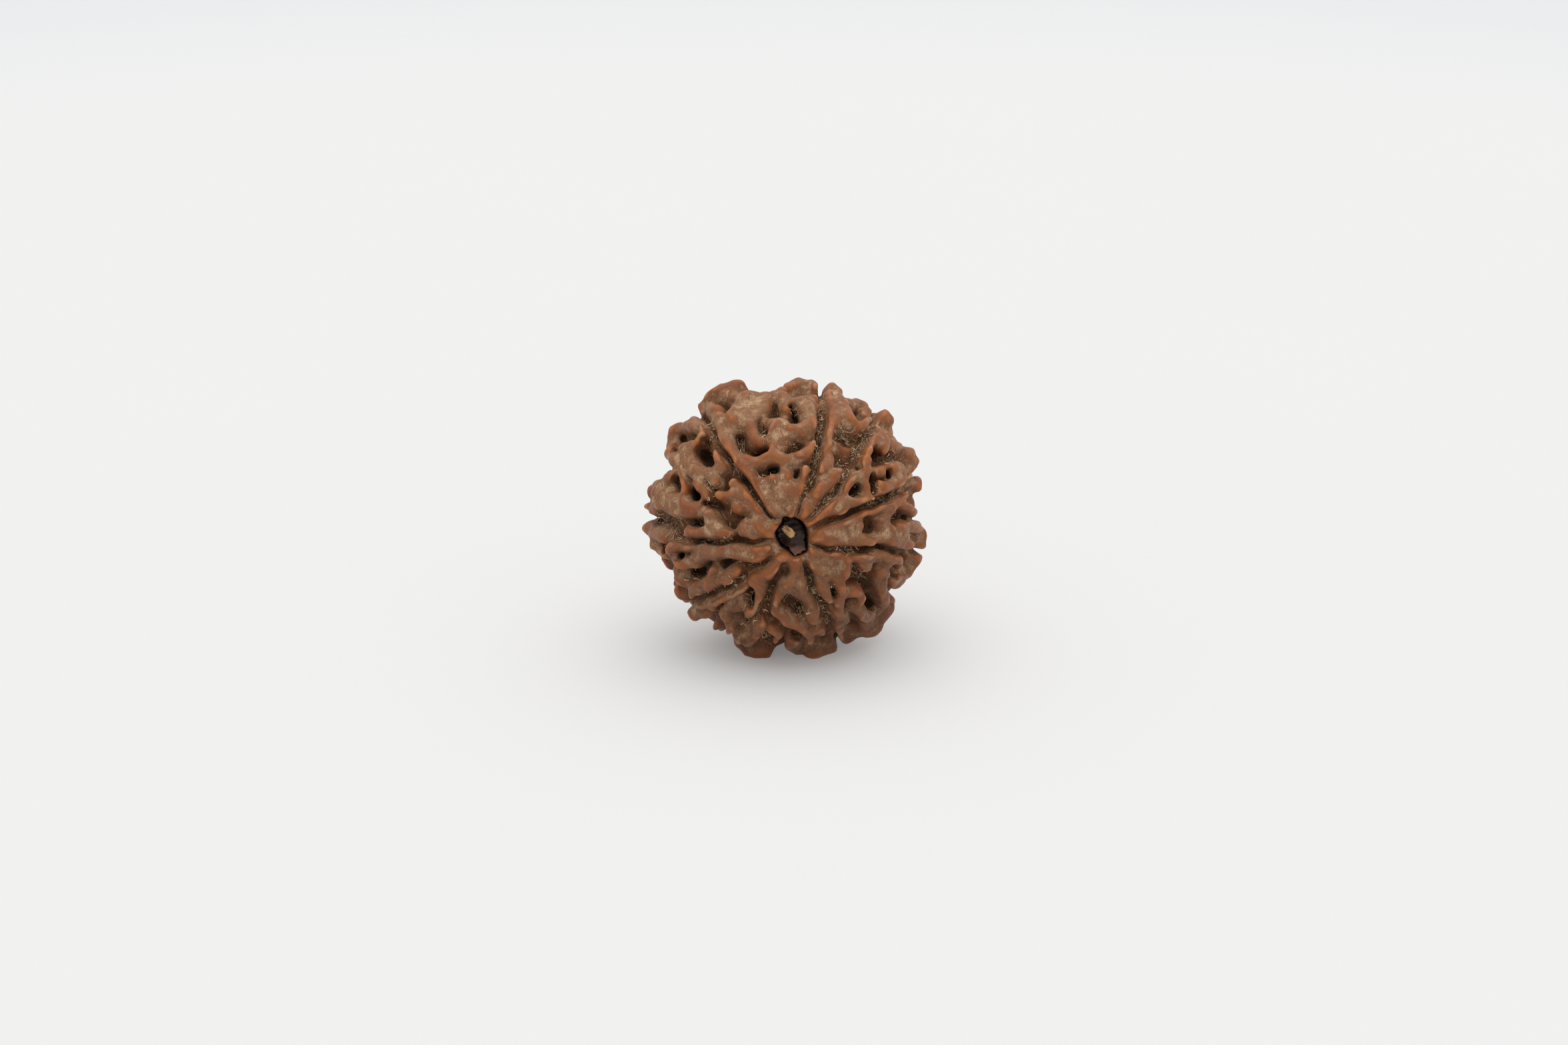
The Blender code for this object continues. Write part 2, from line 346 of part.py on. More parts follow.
class Field:
    """Grid of signed values, negative inside the stone."""

    def __init__(self, cell):
        self.cell = cell
        top = 13.3
        self.lo = np.array([-top, -11.4, -FLOOR_BELOW - 1.5 * cell])
        self.n = [int((hi - lo) / cell) + 2 for lo, hi in zip(self.lo, (top, 11.4, top))]
        self.x, self.y, self.z = [(lo + cell * np.arange(n)).astype(np.float32)
                                  for lo, n in zip(self.lo, self.n)]
        gx, gy, gz = np.meshgrid(self.x, self.y, self.z, indexing="ij")
        wx, wy, wz = [g + 0.08 * ripple(gx, gy, gz, 3.0, SEED + k) + 0.045 * ripple(gx, gy, gz, 1.3, SEED + 5 + k)
                      for k, g in enumerate((gx, gy, gz))]
        along = wx * AXIS[0] + wy * AXIS[1] + wz * AXIS[2]
        size = wx * wx + wy * wy + wz * wz
        g = np.sqrt((size - along ** 2) / HALF_ACROSS ** 2 + along ** 2 / HALF_ALONG ** 2) + 1e-6
        self.q = np.stack([wx / g, wy / g, wz / g]).astype(np.float32)
        self.h = (np.sqrt(size) * (1.0 - 1.0 / g)).astype(np.float32)
        self.h += (0.08 * ripple(gx, gy, gz, 2.4, SEED + 4)).astype(np.float32)
        apart = np.degrees(np.arccos(np.clip(along / (np.sqrt(size) + 1e-6), -1.0, 1.0)))
        near = np.clip((MOUTH_REACH[1] - apart) / (MOUTH_REACH[1] - MOUTH_REACH[0]), 0.0, 1.0)
        near = near * near * (3.0 - 2.0 * near)
        self.f = (self.h - BASE - (MOUTH_BASE - BASE) * near).astype(np.float32)

    def window(self, points, reach):
        pts = np.concatenate([np.array(points) * 0.70, np.array(points) * 1.12])
        lo = np.floor((pts.min(0) - reach - self.lo) / self.cell).astype(int)
        hi = np.ceil((pts.max(0) + reach - self.lo) / self.cell).astype(int) + 1
        return tuple(slice(max(a, 0), max(min(b, n), 0)) for a, b, n in zip(lo, hi, self.n))

    def spans(self, box, points):
        """Distance to a line of places, and how far along it, for every grid point of the box."""
        q = self.q[(slice(None),) + box]
        best = where = None
        for i, (a, b) in enumerate(zip(points, points[1:])):
            ab = b - a
            along = sum((q[k] - a[k]) * ab[k] for k in range(3)) / max(ab @ ab, 1e-9)
            t = np.clip(along, 0.0, 1.0)
            d = sum((q[k] - a[k] - t * ab[k]) ** 2 for k in range(3))
            if best is None:
                best, where = d, i + t
            else:
                nearer = d < best
                best, where = np.where(nearer, d, best), np.where(nearer, i + t, where)
        return np.sqrt(best), where

    def raise_ridge(self, points, width, tops, blend=0.38):
        box = self.window(points, width + 1.2)
        dist, where = self.spans(box, points)
        top = np.interp(where, np.arange(len(tops)), tops)
        h = self.h[box]
        corner = min(width, 0.7)
        out = dist - (width - corner) - SLOPE * np.clip(top - h, 0.0, 3.0)
        up = h - (top - corner)
        bar = np.hypot(np.maximum(out, 0), np.maximum(up, 0)) + np.minimum(np.maximum(out, up), 0) - corner
        f = self.f[box]
        mix = np.clip(0.5 + 0.5 * (f - bar) / blend, 0.0, 1.0)
        self.f[box] = f * (1 - mix) + bar * mix - blend * mix * (1 - mix)

    def sink(self, points, width, depth, flare=0.16, blend=0.30):
        box = self.window(points, np.max(width) + 1.6)
        dist, where = self.spans(box, points)
        if np.ndim(width):
            width = np.interp(where, np.arange(len(width)), width)
            depth = np.interp(where, np.arange(len(depth)), depth)
        h = self.h[box]
        corner = width * 0.8
        out = dist - (width - corner) - flare * np.clip(h + depth, 0.0, 1.6)
        down = -depth + corner - h
        bar = np.hypot(np.maximum(out, 0), np.maximum(down, 0)) + np.minimum(np.maximum(out, down), 0) - corner
        f, cut = self.f[box], -bar
        mix = np.clip(0.5 - 0.5 * (f - cut) / blend, 0.0, 1.0)
        self.f[box] = f * (1 - mix) + cut * mix + blend * mix * (1 - mix)

    def bore(self, starts, ways, width, depth, blend=0.24):
        """Hollows out round-ended holes from places on the surface, each along its own way in."""
        ends = [a + w * depth for a, w in zip(starts, ways)]
        outer = [a - w * 1.6 for a, w in zip(starts, ways)]
        pts = np.array(ends + outer)
        lo = np.floor((pts.min(0) - width - 0.6 - self.lo) / self.cell).astype(int)
        hi = np.ceil((pts.max(0) + width + 0.6 - self.lo) / self.cell).astype(int) + 1
        box = tuple(slice(max(a, 0), max(min(b, n), 0)) for a, b, n in zip(lo, hi, self.n))
        p = np.meshgrid(self.x[box[0]], self.y[box[1]], self.z[box[2]], indexing="ij")
        best = None
        for a, b in zip(outer, ends):
            ab = b - a
            t = np.clip(sum((p[k] - a[k]) * ab[k] for k in range(3)) / (ab @ ab), 0.0, 1.0)
            d = np.sqrt(sum((p[k] - a[k] - t * ab[k]) ** 2 for k in range(3))) - width * (1.12 - 0.3 * t)
            best = d if best is None else np.minimum(best, d)
        f, cut = self.f[box], -best
        mix = np.clip(0.5 - 0.5 * (f - cut) / blend, 0.0, 1.0)
        self.f[box] = f * (1 - mix) + cut * mix + blend * mix * (1 - mix)


def seen_hole(field, line, width, depth, level):
    """Hole drawn on the face: its way in lies between the line of sight and the plumb line."""
    marks = []
    for (au, av), (bu, bv) in zip(line, line[1:]):
        n = max(1, int(math.hypot(bu - au, bv - av) / 0.3))
        marks += [(au + (bu - au) * k / n, av + (bv - av) * k / n) for k in range(n)]
    marks.append(line[-1])
    starts, ways = [], []
    for u, v in marks:
        p = lay(u, v, level)[0]
        g = p * (1.0 + level / np.linalg.norm(p))
        sight = u * RIGHT + v * UP - VIEW_FAR * BACK
        lean = HOLE_LEAN[0] + HOLE_LEAN[1] * (u * u + v * v) / HALF_ACROSS ** 2
        way = (1 - lean) * -p / np.linalg.norm(p) + lean * sight / np.linalg.norm(sight)
        starts.append(g)
        ways.append(way / np.linalg.norm(way))
    field.bore(starts, ways, width, depth + level)


def laid(line, height, level):
    places = [lay(u, v, level) for u, v in line]
    return [p for p, _ in places], [height + extra for _, extra in places]


def groove_lines():
    """Each groove from the mouth over the edge and on to the far end of the bore."""
    rng = np.random.default_rng(SEED + 20)
    lines = []
    for width, depth, *line in GROOVES:
        points = [lay(u, v, -0.6)[0] for u, v in line]
        out = np.linspace(0.0, 1.0, len(points))
        widths = list(width * np.interp(out, *GROOVE_WIDTHS))
        depths = list(depth * np.interp(out, *GROOVE_DEPTHS))
        theta, phi = angles(points[-1])
        for step in range(1, 8):
            t = theta + (172.0 - theta) * step / 7.0
            points.append(polar(t, phi + rng.uniform(-2.5, 2.5)))
            widths.append(width * (0.7 if step == 1 else 0.9 if step < 7 else 0.4))
            depths.append(depth * (0.45 if step in (1, 7) else 0.9))
        lines.append((widths, depths, points))
    return lines


def on_crest(p):
    return p / math.sqrt(form(p, p))


def densified(points, pitch):
    out = []
    for a, b in zip(points, points[1:]):
        n = max(1, int(round(np.linalg.norm(b - a) / pitch)))
        out += [a + (b - a) * k / n for k in range(n)]
    return out + [points[-1]]


def nearest(p, places):
    return np.linalg.norm(np.array(places) - p, axis=1).min()


def far_net(field, lines, drawn):
    """Raised net of the far side: broken lips along the grooves and crooked links between knots."""
    rng = np.random.default_rng(SEED + 40)
    grooves = [p for _, _, points in lines for p in densified(points, 0.5)]
    held = [p for p in drawn if p @ BACK < 4.0]
    links = []
    for _, _, points in lines:
        run = densified(points[-8:], 1.4)
        for sign in (-1.0, 1.0):
            lip = []
            for a, b in zip(run, run[1:]):
                out = np.cross(a, b - a)
                beside = a + sign * rng.uniform(0.80, 1.05) * out / np.linalg.norm(out)
                if beside @ BACK < FAR_FROM and nearest(beside, grooves) > 0.6:
                    lip.append(on_crest(beside))
            held += lip
            links += [(a, b) for a, b in zip(lip, lip[1:]) if np.linalg.norm(b - a) < 2.2 and rng.uniform() < 0.84]
    knots = []
    for _ in range(5000):
        p = polar(math.degrees(math.acos(rng.uniform(-1.0, 0.6))), rng.uniform(0.0, 360.0))
        if p @ BACK < FAR_FROM and nearest(p, grooves) > 1.25 and nearest(p, held + knots) > FAR_CELL:
            knots.append(p)
    every = np.array(held + knots)
    for p in knots:
        far = np.linalg.norm(every - p, axis=1)
        for i in np.argsort(far)[1:5]:
            if far[i] < 1.75 * FAR_CELL and nearest((p + every[i]) / 2, grooves) > 0.8 and rng.uniform() < 0.52:
                links.append((p, every[i]))
        if rng.uniform() < 0.3:
            links.append((p, on_crest(p + rng.normal(scale=0.25, size=3))))
    for p, q in links:
        width, top = rng.uniform(*FAR_WIDTHS), rng.uniform(*FAR_TOPS)
        behind = -(p + q) @ BACK / 2.0
        top -= RIM_DROP * np.clip(1.0 - behind / RIM_FADE, 0.0, 1.0)
        m = on_crest((p + q) / 2 + rng.normal(scale=0.2, size=3))
        field.raise_ridge([p, m, q], width, [top, top - 0.1, top])


def far_pits(field, lines):
    """A few deep crooked pits of the far side, off the groove lines."""
    rng = np.random.default_rng(SEED + 60)
    grooves = [p for _, _, points in lines for p in densified(points, 0.5)]
    made = 0
    while made < FAR_PITS:
        p = polar(rng.uniform(84, 160), rng.uniform(0, 360))
        if p @ BACK > FAR_FROM or nearest(p, grooves) < 1.1:
            continue
        q = on_crest(p + rng.normal(scale=0.6, size=3))
        field.sink([p, q], rng.uniform(0.22, 0.40), rng.uniform(1.7, 2.2))
        made += 1


def outline_distance(x, y, corners):
    """Signed distance to a closed outline, negative inside."""
    best = None
    inside = np.zeros(x.shape, bool)
    for (ax, ay), (bx, by) in zip(corners, corners[1:] + corners[:1]):
        ex, ey = bx - ax, by - ay
        t = np.clip(((x - ax) * ex + (y - ay) * ey) / (ex * ex + ey * ey), 0.0, 1.0)
        d = np.hypot(x - ax - t * ex, y - ay - t * ey)
        best = d if best is None else np.minimum(best, d)
        cross = (ay > y) != (by > y)
        if ay != by:
            inside ^= cross & (x < (bx - ax) * (y - ay) / (by - ay) + ax)
    return np.where(inside, -best, best)


def mouth_corners():
    """Mouth outline in the plane across the bore."""
    out = []
    for u, v in MOUTH:
        p = lay(u, v)[0]
        out.append((p @ SIDE, p @ OVER))
    return out


def cut_canal(field):
    gx, gy, gz = np.meshgrid(field.x, field.y, field.z, indexing="ij")
    along = gx * AXIS[0] + gy * AXIS[1] + gz * AXIS[2]
    side = gx * SIDE[0] + gy * SIDE[1] + gz * SIDE[2]
    over = gx * OVER[0] + gy * OVER[1] + gz * OVER[2]
    corners = mouth_corners()
    mx = sum(c[0] for c in corners) / len(corners)
    my = sum(c[1] for c in corners) / len(corners)
    slide = np.clip((along - 2.0) / 6.0, 0.0, 1.0)
    radius = BACK_R + (CANAL_R - BACK_R) * np.clip((along + 9.0) / 10.0, 0.0, 1.0)
    tube = np.hypot(side - mx * slide, over - my * slide) - radius
    near = along > 4.0
    mouth = np.full(tube.shape, 9.0, np.float32)
    deep = np.clip(MOUTH_EDGE - along[near], 0.0, 4.0)
    mouth[near] = outline_distance(side[near], over[near], corners) + MOUTH_TAPER * deep
    mouth = np.maximum(mouth, MOUTH_FLOOR - along)
    field.f = np.maximum(field.f, -np.minimum(tube, mouth))


def even_out(f):
    """Takes off fins too thin for the grid and eases every edge a little."""
    for axis in range(3):
        f = np.moveaxis(f, axis, 0)
        f[1:-1] = 0.5 * f[1:-1] + 0.25 * (f[:-2] + f[2:])
        f = np.moveaxis(f, 0, axis)
    return f


def underside(spots):
    """Places on the crest surface under the seed, from (x, y) spots."""
    return [on_crest(np.array([x, y, -HALF_ACROSS])) for x, y in spots]


def stone_field(cell):
    field = Field(cell)
    lines = groove_lines()
    drawn = []
    for width, depth, *line in HOLLOWS:
        seen_hole(field, line, width, depth, -0.6)
    for width, top, *line in RIDGES:
        points, tops = laid(line, top, top - 0.1)
        drawn += points
        field.raise_ridge(points, width, tops)
    far_net(field, lines, drawn)
    for width, top, *spots in FEET:
        points = underside(spots)
        field.raise_ridge(points, width, [top] * len(points), blend=0.7)
    width, depth, *spots = NOTCH
    field.sink(underside(spots), width, depth)
    for width, depth, *line in PITS:
        seen_hole(field, line, width, depth, -0.3)
    far_pits(field, lines)
    for widths, depths, points in lines:
        field.sink(points, widths, depths, flare=0.10)
    cut_canal(field)
    field.f = even_out(field.f)
    field.f = np.maximum(field.f, (-FLOOR_BELOW - field.z)[None, None, :])
    return field


TETS = [(0, 1, 3, 7), (0, 3, 2, 7), (0, 2, 6, 7), (0, 6, 4, 7), (0, 4, 5, 7), (0, 5, 1, 7)]


def surface(field):
    """Closed triangle surface where the field passes through zero."""
    f = field.f
    nx, ny, nz = f.shape
    step = [0, 1, nx, nx + 1, nx * ny, nx * ny + 1, nx * ny + nx, nx * ny + nx + 1]
    flat = f.transpose(2, 1, 0).ravel()
    inside = flat < 0
    grid = inside.reshape(nz, ny, nx)
    some = np.zeros((nz - 1, ny - 1, nx - 1), np.int8)
    for dz in (0, 1):
        for dy in (0, 1):
            for dx in (0, 1):
                some += grid[dz:nz - 1 + dz, dy:ny - 1 + dy, dx:nx - 1 + dx]
    kz, ky, kx = np.nonzero((some > 0) & (some < 8))
    base = kx + nx * ky + nx * ny * kz
    tris = []
    for tet in TETS:
        ids = np.stack([base + step[c] for c in tet], axis=1)
        code = sum(inside[ids[:, k]].astype(int) << k for k in range(4))
        for bits in range(1, 15):
            rows = ids[code == bits]
            if not len(rows):
                continue
            ins = [k for k in range(4) if bits >> k & 1]
            outs = [k for k in range(4) if not bits >> k & 1]
            if len(ins) == 1:
                corners = [[(ins[0], o) for o in outs]]
            elif len(ins) == 3:
                corners = [[(i, outs[0]) for i in ins]]
            else:
                a, b = ins
                c, d = outs
                corners = [[(a, c), (a, d), (b, d)], [(a, c), (b, d), (b, c)]]
            for tri in corners:
                pts = [(rows[:, i], rows[:, o]) for i, o in tri]
                tris.append(np.stack([np.stack(p, axis=1) for p in pts], axis=1))
    tris = np.concatenate(tris)
    edges = tris.reshape(-1, 2)
    key = edges[:, 0].astype(np.int64) * len(flat) + edges[:, 1]
    unique, index = np.unique(key, return_inverse=True)
    a, b = unique // len(flat), unique % len(flat)
    t = np.clip(flat[a] / (flat[a] - flat[b]), 0.06, 0.94)[:, None]

    def place(i):
        return np.stack([field.x[i % nx], field.y[i // nx % ny], field.z[i // (nx * ny)]], axis=1)
    verts = place(a) * (1 - t) + place(b) * t
    faces = index.reshape(-1, 3)
    # Turn every triangle so that it faces from inside to outside.
    p = verts[faces]
    normal = np.cross(p[:, 1] - p[:, 0], p[:, 2] - p[:, 0])
    way = (place(edges[::3, 1]) - place(edges[::3, 0]))
    flip = (normal * way).sum(1) < 0
    faces[flip] = faces[flip][:, ::-1]
    return verts, faces


def biggest_piece(verts, faces):
    """Keeps the largest connected piece, so no crumbs are left."""
    label = np.arange(len(verts))
    while True:
        low = label[faces].min(1)
        new = label.copy()
        np.minimum.at(new, faces.ravel(), np.repeat(low, 3))
        new = new[new]
        if (new == label).all():
            break
        label = new
    kinds, counts = np.unique(label[faces[:, 0]], return_counts=True)
    faces = faces[label[faces[:, 0]] == kinds[counts.argmax()]]
    used, index = np.unique(faces, return_inverse=True)
    return verts[used], index.reshape(-1, 3)


def soften(verts, faces, rounds):
    """Evens out the steps of the sampling grid without shrinking the mesh."""
    a = faces[:, [0, 1, 2]].ravel()
    b = faces[:, [1, 2, 0]].ravel()
    near = np.bincount(a, minlength=len(verts))[:, None]
    for _ in range(rounds):
        for weight in (0.5, -0.53):
            mean = np.stack([np.bincount(a, verts[b, k], len(verts)) for k in range(3)], axis=1) / near
            verts = verts + weight * (mean - verts)
    return verts


def new_material(name, colour, rough):
    mat = bpy.data.materials.new(name)
    mat.use_nodes = True
    shader = mat.node_tree.nodes["Principled BSDF"]
    shader.inputs["Base Color"].default_value = (*colour, 1.0)
    shader.inputs["Roughness"].default_value = rough
    return mat


def new_object(name, verts, faces, mat):
    mesh = bpy.data.meshes.new(name)
    mesh.from_pydata([tuple(v) for v in verts.tolist()], [], [tuple(f) for f in faces.tolist()])
    mesh.validate()
    mesh.materials.append(mat)
    ob = bpy.data.objects.new(name, mesh)
    bpy.context.scene.collection.objects.link(ob)
    return ob


def thin_out(ob, count):
    """Brings the mesh down to a count of triangles."""
    mod = ob.modifiers.new("thin", "DECIMATE")
    mod.ratio = count / len(ob.data.polygons)
    bpy.context.view_layer.update()
    shape = ob.evaluated_get(bpy.context.evaluated_depsgraph_get())
    mesh = bpy.data.meshes.new_from_object(shape)
    ob.modifiers.clear()
    old, ob.data = ob.data, mesh
    bpy.data.meshes.remove(old)
    mesh.name = ob.name


def raised(verts):
    """From the middle of the seed to the row's frame: floor at zero, metres."""
    return (verts + np.array([0.0, 0.0, FLOOR_BELOW])) * MM


def build_stone():
    verts, faces = biggest_piece(*surface(stone_field(CELL)))
    verts = soften(verts, faces, 3)
    ob = new_object("stone", raised(verts), faces, new_material("stone", (0.30, 0.12, 0.06), 0.5))
    thin_out(ob, STONE_FACES)
    for v in ob.data.vertices:
        if v.co.z < 0.03 * MM:
            v.co.z = 0.0
    return ob


def seen_in_mouth(u, v, along):
    """Place that far forward along the bore, under what is seen at (u, v)."""
    eye = VIEW_FAR * BACK
    ray = u * RIGHT + v * UP - eye
    return eye + (along - eye @ AXIS) / (ray @ AXIS) * ray


def pith_face(a, b):
    """Level of the pith's face: a cup on the left, a swell on the right, the lower edge raised."""
    cup = math.exp(-((a + 0.7) ** 2 + (b + 0.2) ** 2) / 0.40)
    swell = math.exp(-((a - 0.65) ** 2 + (b - 0.1) ** 2) / 0.50)
    return PITH_TOP - 0.32 * b + 0.08 * a - 0.55 * cup + 0.18 * swell + 0.05 * math.sin(5.0 * a + 3.0 * b)


def loft(rings):
    """Closed solid through rings of places; the first and last entry are single tips."""
    verts, faces = [rings[0][0]], []
    for ring in rings[1:-1]:
        verts += list(ring)
    verts.append(rings[-1][0])
    n, last = len(rings[1]), len(verts) - 1
    for k in range(n):
        m = (k + 1) % n
        faces.append((0, 1 + k, 1 + m))
        for j in range(len(rings) - 3):
            low, high = 1 + j * n, 1 + (j + 1) * n
            faces += [(low + k, high + k, high + m), (low + k, high + m, low + m)]
        faces.append((last, last - n + m, last - n + k))
    return np.array(verts), np.array(faces)


def build_pith(sectors=40, rounds=7):
    """Dried core of the mouth: it follows the mouth's outline, a gap inside it."""
    corners = mouth_corners()
    mx = sum(c[0] for c in corners) / len(corners)
    my = sum(c[1] for c in corners) / len(corners)
    ways = [(math.cos(2 * math.pi * k / sectors), math.sin(2 * math.pi * k / sectors)) for k in range(sectors)]

    def reach(way, level):
        """How far the pith goes that way at that level."""
        inset = GAP + MOUTH_TAPER * max(MOUTH_EDGE - level, 0.0)
        far = np.linspace(0.2, 3.5, 331)
        clear = outline_distance(mx + far * way[0], my + far * way[1], corners) + inset
        return far[np.argmax(clear > 0.0)]

    def place(way, r, level):
        return (mx + r * way[0]) * SIDE + (my + r * way[1]) * OVER + level * AXIS

    rings = [[place((0, 0), 0, pith_face(0, 0))]]
    rims = [reach(way, PITH_TOP) for way in ways]
    for j in range(1, rounds + 1):
        part = 0.94 * j / rounds
        rings.append([place(w, part * r, pith_face(part * r * w[0], part * r * w[1])) for w, r in zip(ways, rims)])
    rings.append([place(w, r, pith_face(r * w[0], r * w[1]) - 0.12) for w, r in zip(ways, rims)])
    foot = MOUTH_FLOOR + GAP
    rings.append([place(w, reach(w, foot), foot) for w in ways])
    rings.append([place((0, 0), 0, foot)])
    verts, faces = loft(rings)
    return new_object("pith", raised(verts), faces, new_material("pith", (0.014, 0.008, 0.008), 0.7))


def build_strand(sectors=12, steps=9):
    """Knobbly stub of straw-coloured strand standing off the pith."""
    start, end = [seen_in_mouth(*spot) for spot in STRAND_ENDS]
    way = (end - start) / np.linalg.norm(end - start)
    one = np.cross(way, OVER)
    one /= np.linalg.norm(one)
    two = np.cross(one, way)
    rings = [[start - STRAND_R * 0.55 * way]]
    for j in range(steps + 1):
        t = j / steps
        round_off = math.sqrt(max(1.0 - abs(2.0 * t - 1.0) ** 5, 0.16))
        ring = []
        for k in range(sectors):
            turn = 2 * math.pi * k / sectors
            knob = 1.0 + 0.10 * math.sin(3 * turn + 6.0 * t) + 0.07 * math.sin(9.0 * t + turn)
            r = STRAND_R * (0.8 + 0.2 * t) * round_off * knob
            ring.append(start + (end - start) * (1.24 * t - 0.12) + r * (math.cos(turn) * one + math.sin(turn) * two))
        rings.append(ring)
    rings.append([end + STRAND_R * 0.5 * way])
    verts, faces = loft(rings)
    return new_object("strand", raised(verts), faces, new_material("strand", (0.45, 0.33, 0.18), 0.8))


def main():
    clear_scene()
    build_stone()
    build_pith()
    build_strand()


main()
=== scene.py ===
"""Looks of a nine-grooved rudraksha seed lying on its side.

The ridged stone is grown from the same drawing as its solid, at a finer grid: nine lobes between nine
grooves, a raised net of ridges and horns, pits between them and the mouth of the bore. Its crests are
waxy and orange-brown, its slopes dusty, its valleys dark. Shredded fibres lie in the grooves and pits.

Tables and functions of the stone work in millimetres from the middle of the seed. Meshes are made in
metres with the floor at zero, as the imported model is. Places on the front are (u, v) as the photo's
camera sees them: u to the right and v upwards from the middle of the seed.
"""
import math

import bpy
import numpy as np
from bpy.props import FloatProperty, FloatVectorProperty, IntProperty, PointerProperty
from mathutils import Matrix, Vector
from mathutils.bvhtree import BVHTree


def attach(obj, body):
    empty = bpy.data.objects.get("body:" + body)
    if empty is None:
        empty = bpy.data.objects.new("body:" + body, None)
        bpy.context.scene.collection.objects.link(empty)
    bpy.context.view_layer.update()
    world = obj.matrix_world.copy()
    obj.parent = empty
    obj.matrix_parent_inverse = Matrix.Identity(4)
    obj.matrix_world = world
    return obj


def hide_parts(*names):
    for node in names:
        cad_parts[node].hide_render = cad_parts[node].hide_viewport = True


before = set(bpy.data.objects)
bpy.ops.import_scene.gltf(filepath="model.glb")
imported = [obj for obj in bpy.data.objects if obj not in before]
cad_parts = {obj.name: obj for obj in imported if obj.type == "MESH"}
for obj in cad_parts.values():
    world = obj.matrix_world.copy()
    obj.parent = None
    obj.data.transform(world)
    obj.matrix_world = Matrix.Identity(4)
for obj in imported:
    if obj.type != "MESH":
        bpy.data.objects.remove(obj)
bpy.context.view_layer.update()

bl_info = {
    "name": "Rudraksha Seed",
    "version": (1, 0, 0),
    "blender": (4, 5, 0),
    "location": "View3D > Sidebar > Seed",
    "description": "Builds a nine-grooved rudraksha seed, its mouth, fibres and cracks, and a pale stage",
    "category": "Object",
}

MM = 0.001
HALF_ACROSS = 12.1      # crest surface, half size across the bore
HALF_ALONG = 9.9        # crest surface, half size along the bore
FLOOR_BELOW = 11.74     # from the middle of the seed down to the plane it rests on
BORE_TILT = 8.3         # degrees the bore points up
VIEW_SIDE = -4.0        # degrees, the photo's direction
VIEW_UP = 20.0
VIEW_FAR = 347.0        # how far away the photo's eye is
BASE = -1.60            # general level of the body under the crest surface
MOUTH_BASE = -0.80      # the same close round the mouth
MOUTH_REACH = (12.0, 28.0)      # degrees from the bore over which one level turns into the other
SLOPE = 0.18            # how far the side of a ridge leans out for its height
WARPS = ((0.10, 3.0), (0.075, 1.3))     # sideways unevenness: how much, and how long its waves are
SWELLS = ((0.10, 2.4), (0.07, 1.2))     # the same up and down
OUTLINE_BACK = 1.3      # knobs of the outline stand at most this far behind the rim
OUTLINE_EASE = 40.0     # how soon they reach that, by how far past the rim they are seen
EDGE_CLEAR = 0.06       # least share of a grid edge on either side of the surface
EVENING = (0.5, -0.53)  # how far each round moves a point to its neighbours' mean and back
GRID_ACROSS = 13.3      # sampling grid, half size across the bore
GRID_ALONG = 11.4       # and along it
HOLLOW_LEVEL = -0.6     # hollows and grooves are laid on this level, under the crest surface
PIT_LEVEL = -0.3        # and pits on this one
MOUTH_FROM = 4.0        # along the bore, the mouth is in front of this and the canal behind it
RIDGE_BLEND = 0.38      # width of the soft fillet at the foot of a ridge
FOOT_BLEND = 0.7        # the same under the flats that the seed rests on
GROOVE_BLEND = 0.30     # and at the lip of a groove
PIT_BLEND = 0.24        # and of a pit
GAP = 0.42              # room round the pith at its foot
MOUTH_FLOOR = 5.4       # how far forward the floor of the mouth is, along the bore
MOUTH_EDGE = 8.8        # behind this the mouth narrows, by this much for each millimetre
MOUTH_TAPER = 0.10
PITH_TOP = 7.95         # middle of the pith's face, along the bore
PITH_RAISED = 0.25      # the dressed face stands this much further forward
PITH_LEAN = 0.32        # and so much further for each millimetre down
CUP = (-0.14, -2.02)    # middle of the cup in it, and how far from there the cup's rim is
CUP_RIM = 0.72
STRAND_R = 0.36
STRAND_ENDS = [(-0.05, -0.80, 8.5), (0.62, -1.38, 9.0)]     # seen at (u, v), and how far forward
CANAL_R = 0.95          # canal behind the core
BACK_R = 0.75           # opening at the far end
CANAL_SLIDE = (2.0, 6.0)        # from here along the bore, over this run, it slides to the mouth
CANAL_WIDEN = (-9.0, 10.0)      # and the same for its change of width
BORE_DARK = 1.5         # painted shade on the canal's wall ends this far from the bore's axis
BORE_FADE = 0.5
FAR_FROM = -0.8         # the far side's net starts this far behind the rim
RIM_DROP = 0.75         # it is this much lower at the rim
RIM_FADE = 4.0          # and back at its own height this far behind it
FAR_CELL = 1.7          # least distance between the knots of that net
FAR_WIDTHS = (0.34, 0.58)       # half widths of its ridges
FAR_TOPS = (-0.28, 0.1)         # heights of their tops against the crest surface
FAR_PITCH = 0.5         # distance between the places that stand for a groove there
FAR_TRIES = 5000        # draws for knots
FAR_CLEAR = 1.25        # least distance of a knot from a groove, and of a link's middle
LINK_CLEAR = 0.8
LINK_REACH = 1.75 * FAR_CELL
LINK_SHARE = 0.52       # share of the links within reach that stand
STUB_SHARE = 0.3        # share of the knots with a short ridge of their own
LIP_PITCH = 1.4         # lips along the grooves: pitch, how far beside them, longest step, share
LIP_BESIDE = (0.80, 1.05)
LIP_CLEAR = 0.6
LIP_STEP = 2.2
LIP_SHARE = 0.84
FAR_PITS = 26
FAR_PIT_WIDTHS = (0.22, 0.40)
FAR_PIT_DEPTHS = (1.7, 2.2)
FAR_PIT_CLEAR = 1.1     # least distance of a pit from a groove
FAR_END = 172.0         # degrees from the bore at which the grooves end
HOLE_LEAN = (0.36, 0.4)         # lean of a pit towards the eye, at the middle and added at the edge
HOLE_PITCH = 0.3        # distance between the round-ended holes that make a drawn one
HOLE_OUT = 1.6          # how far outside the surface each begins
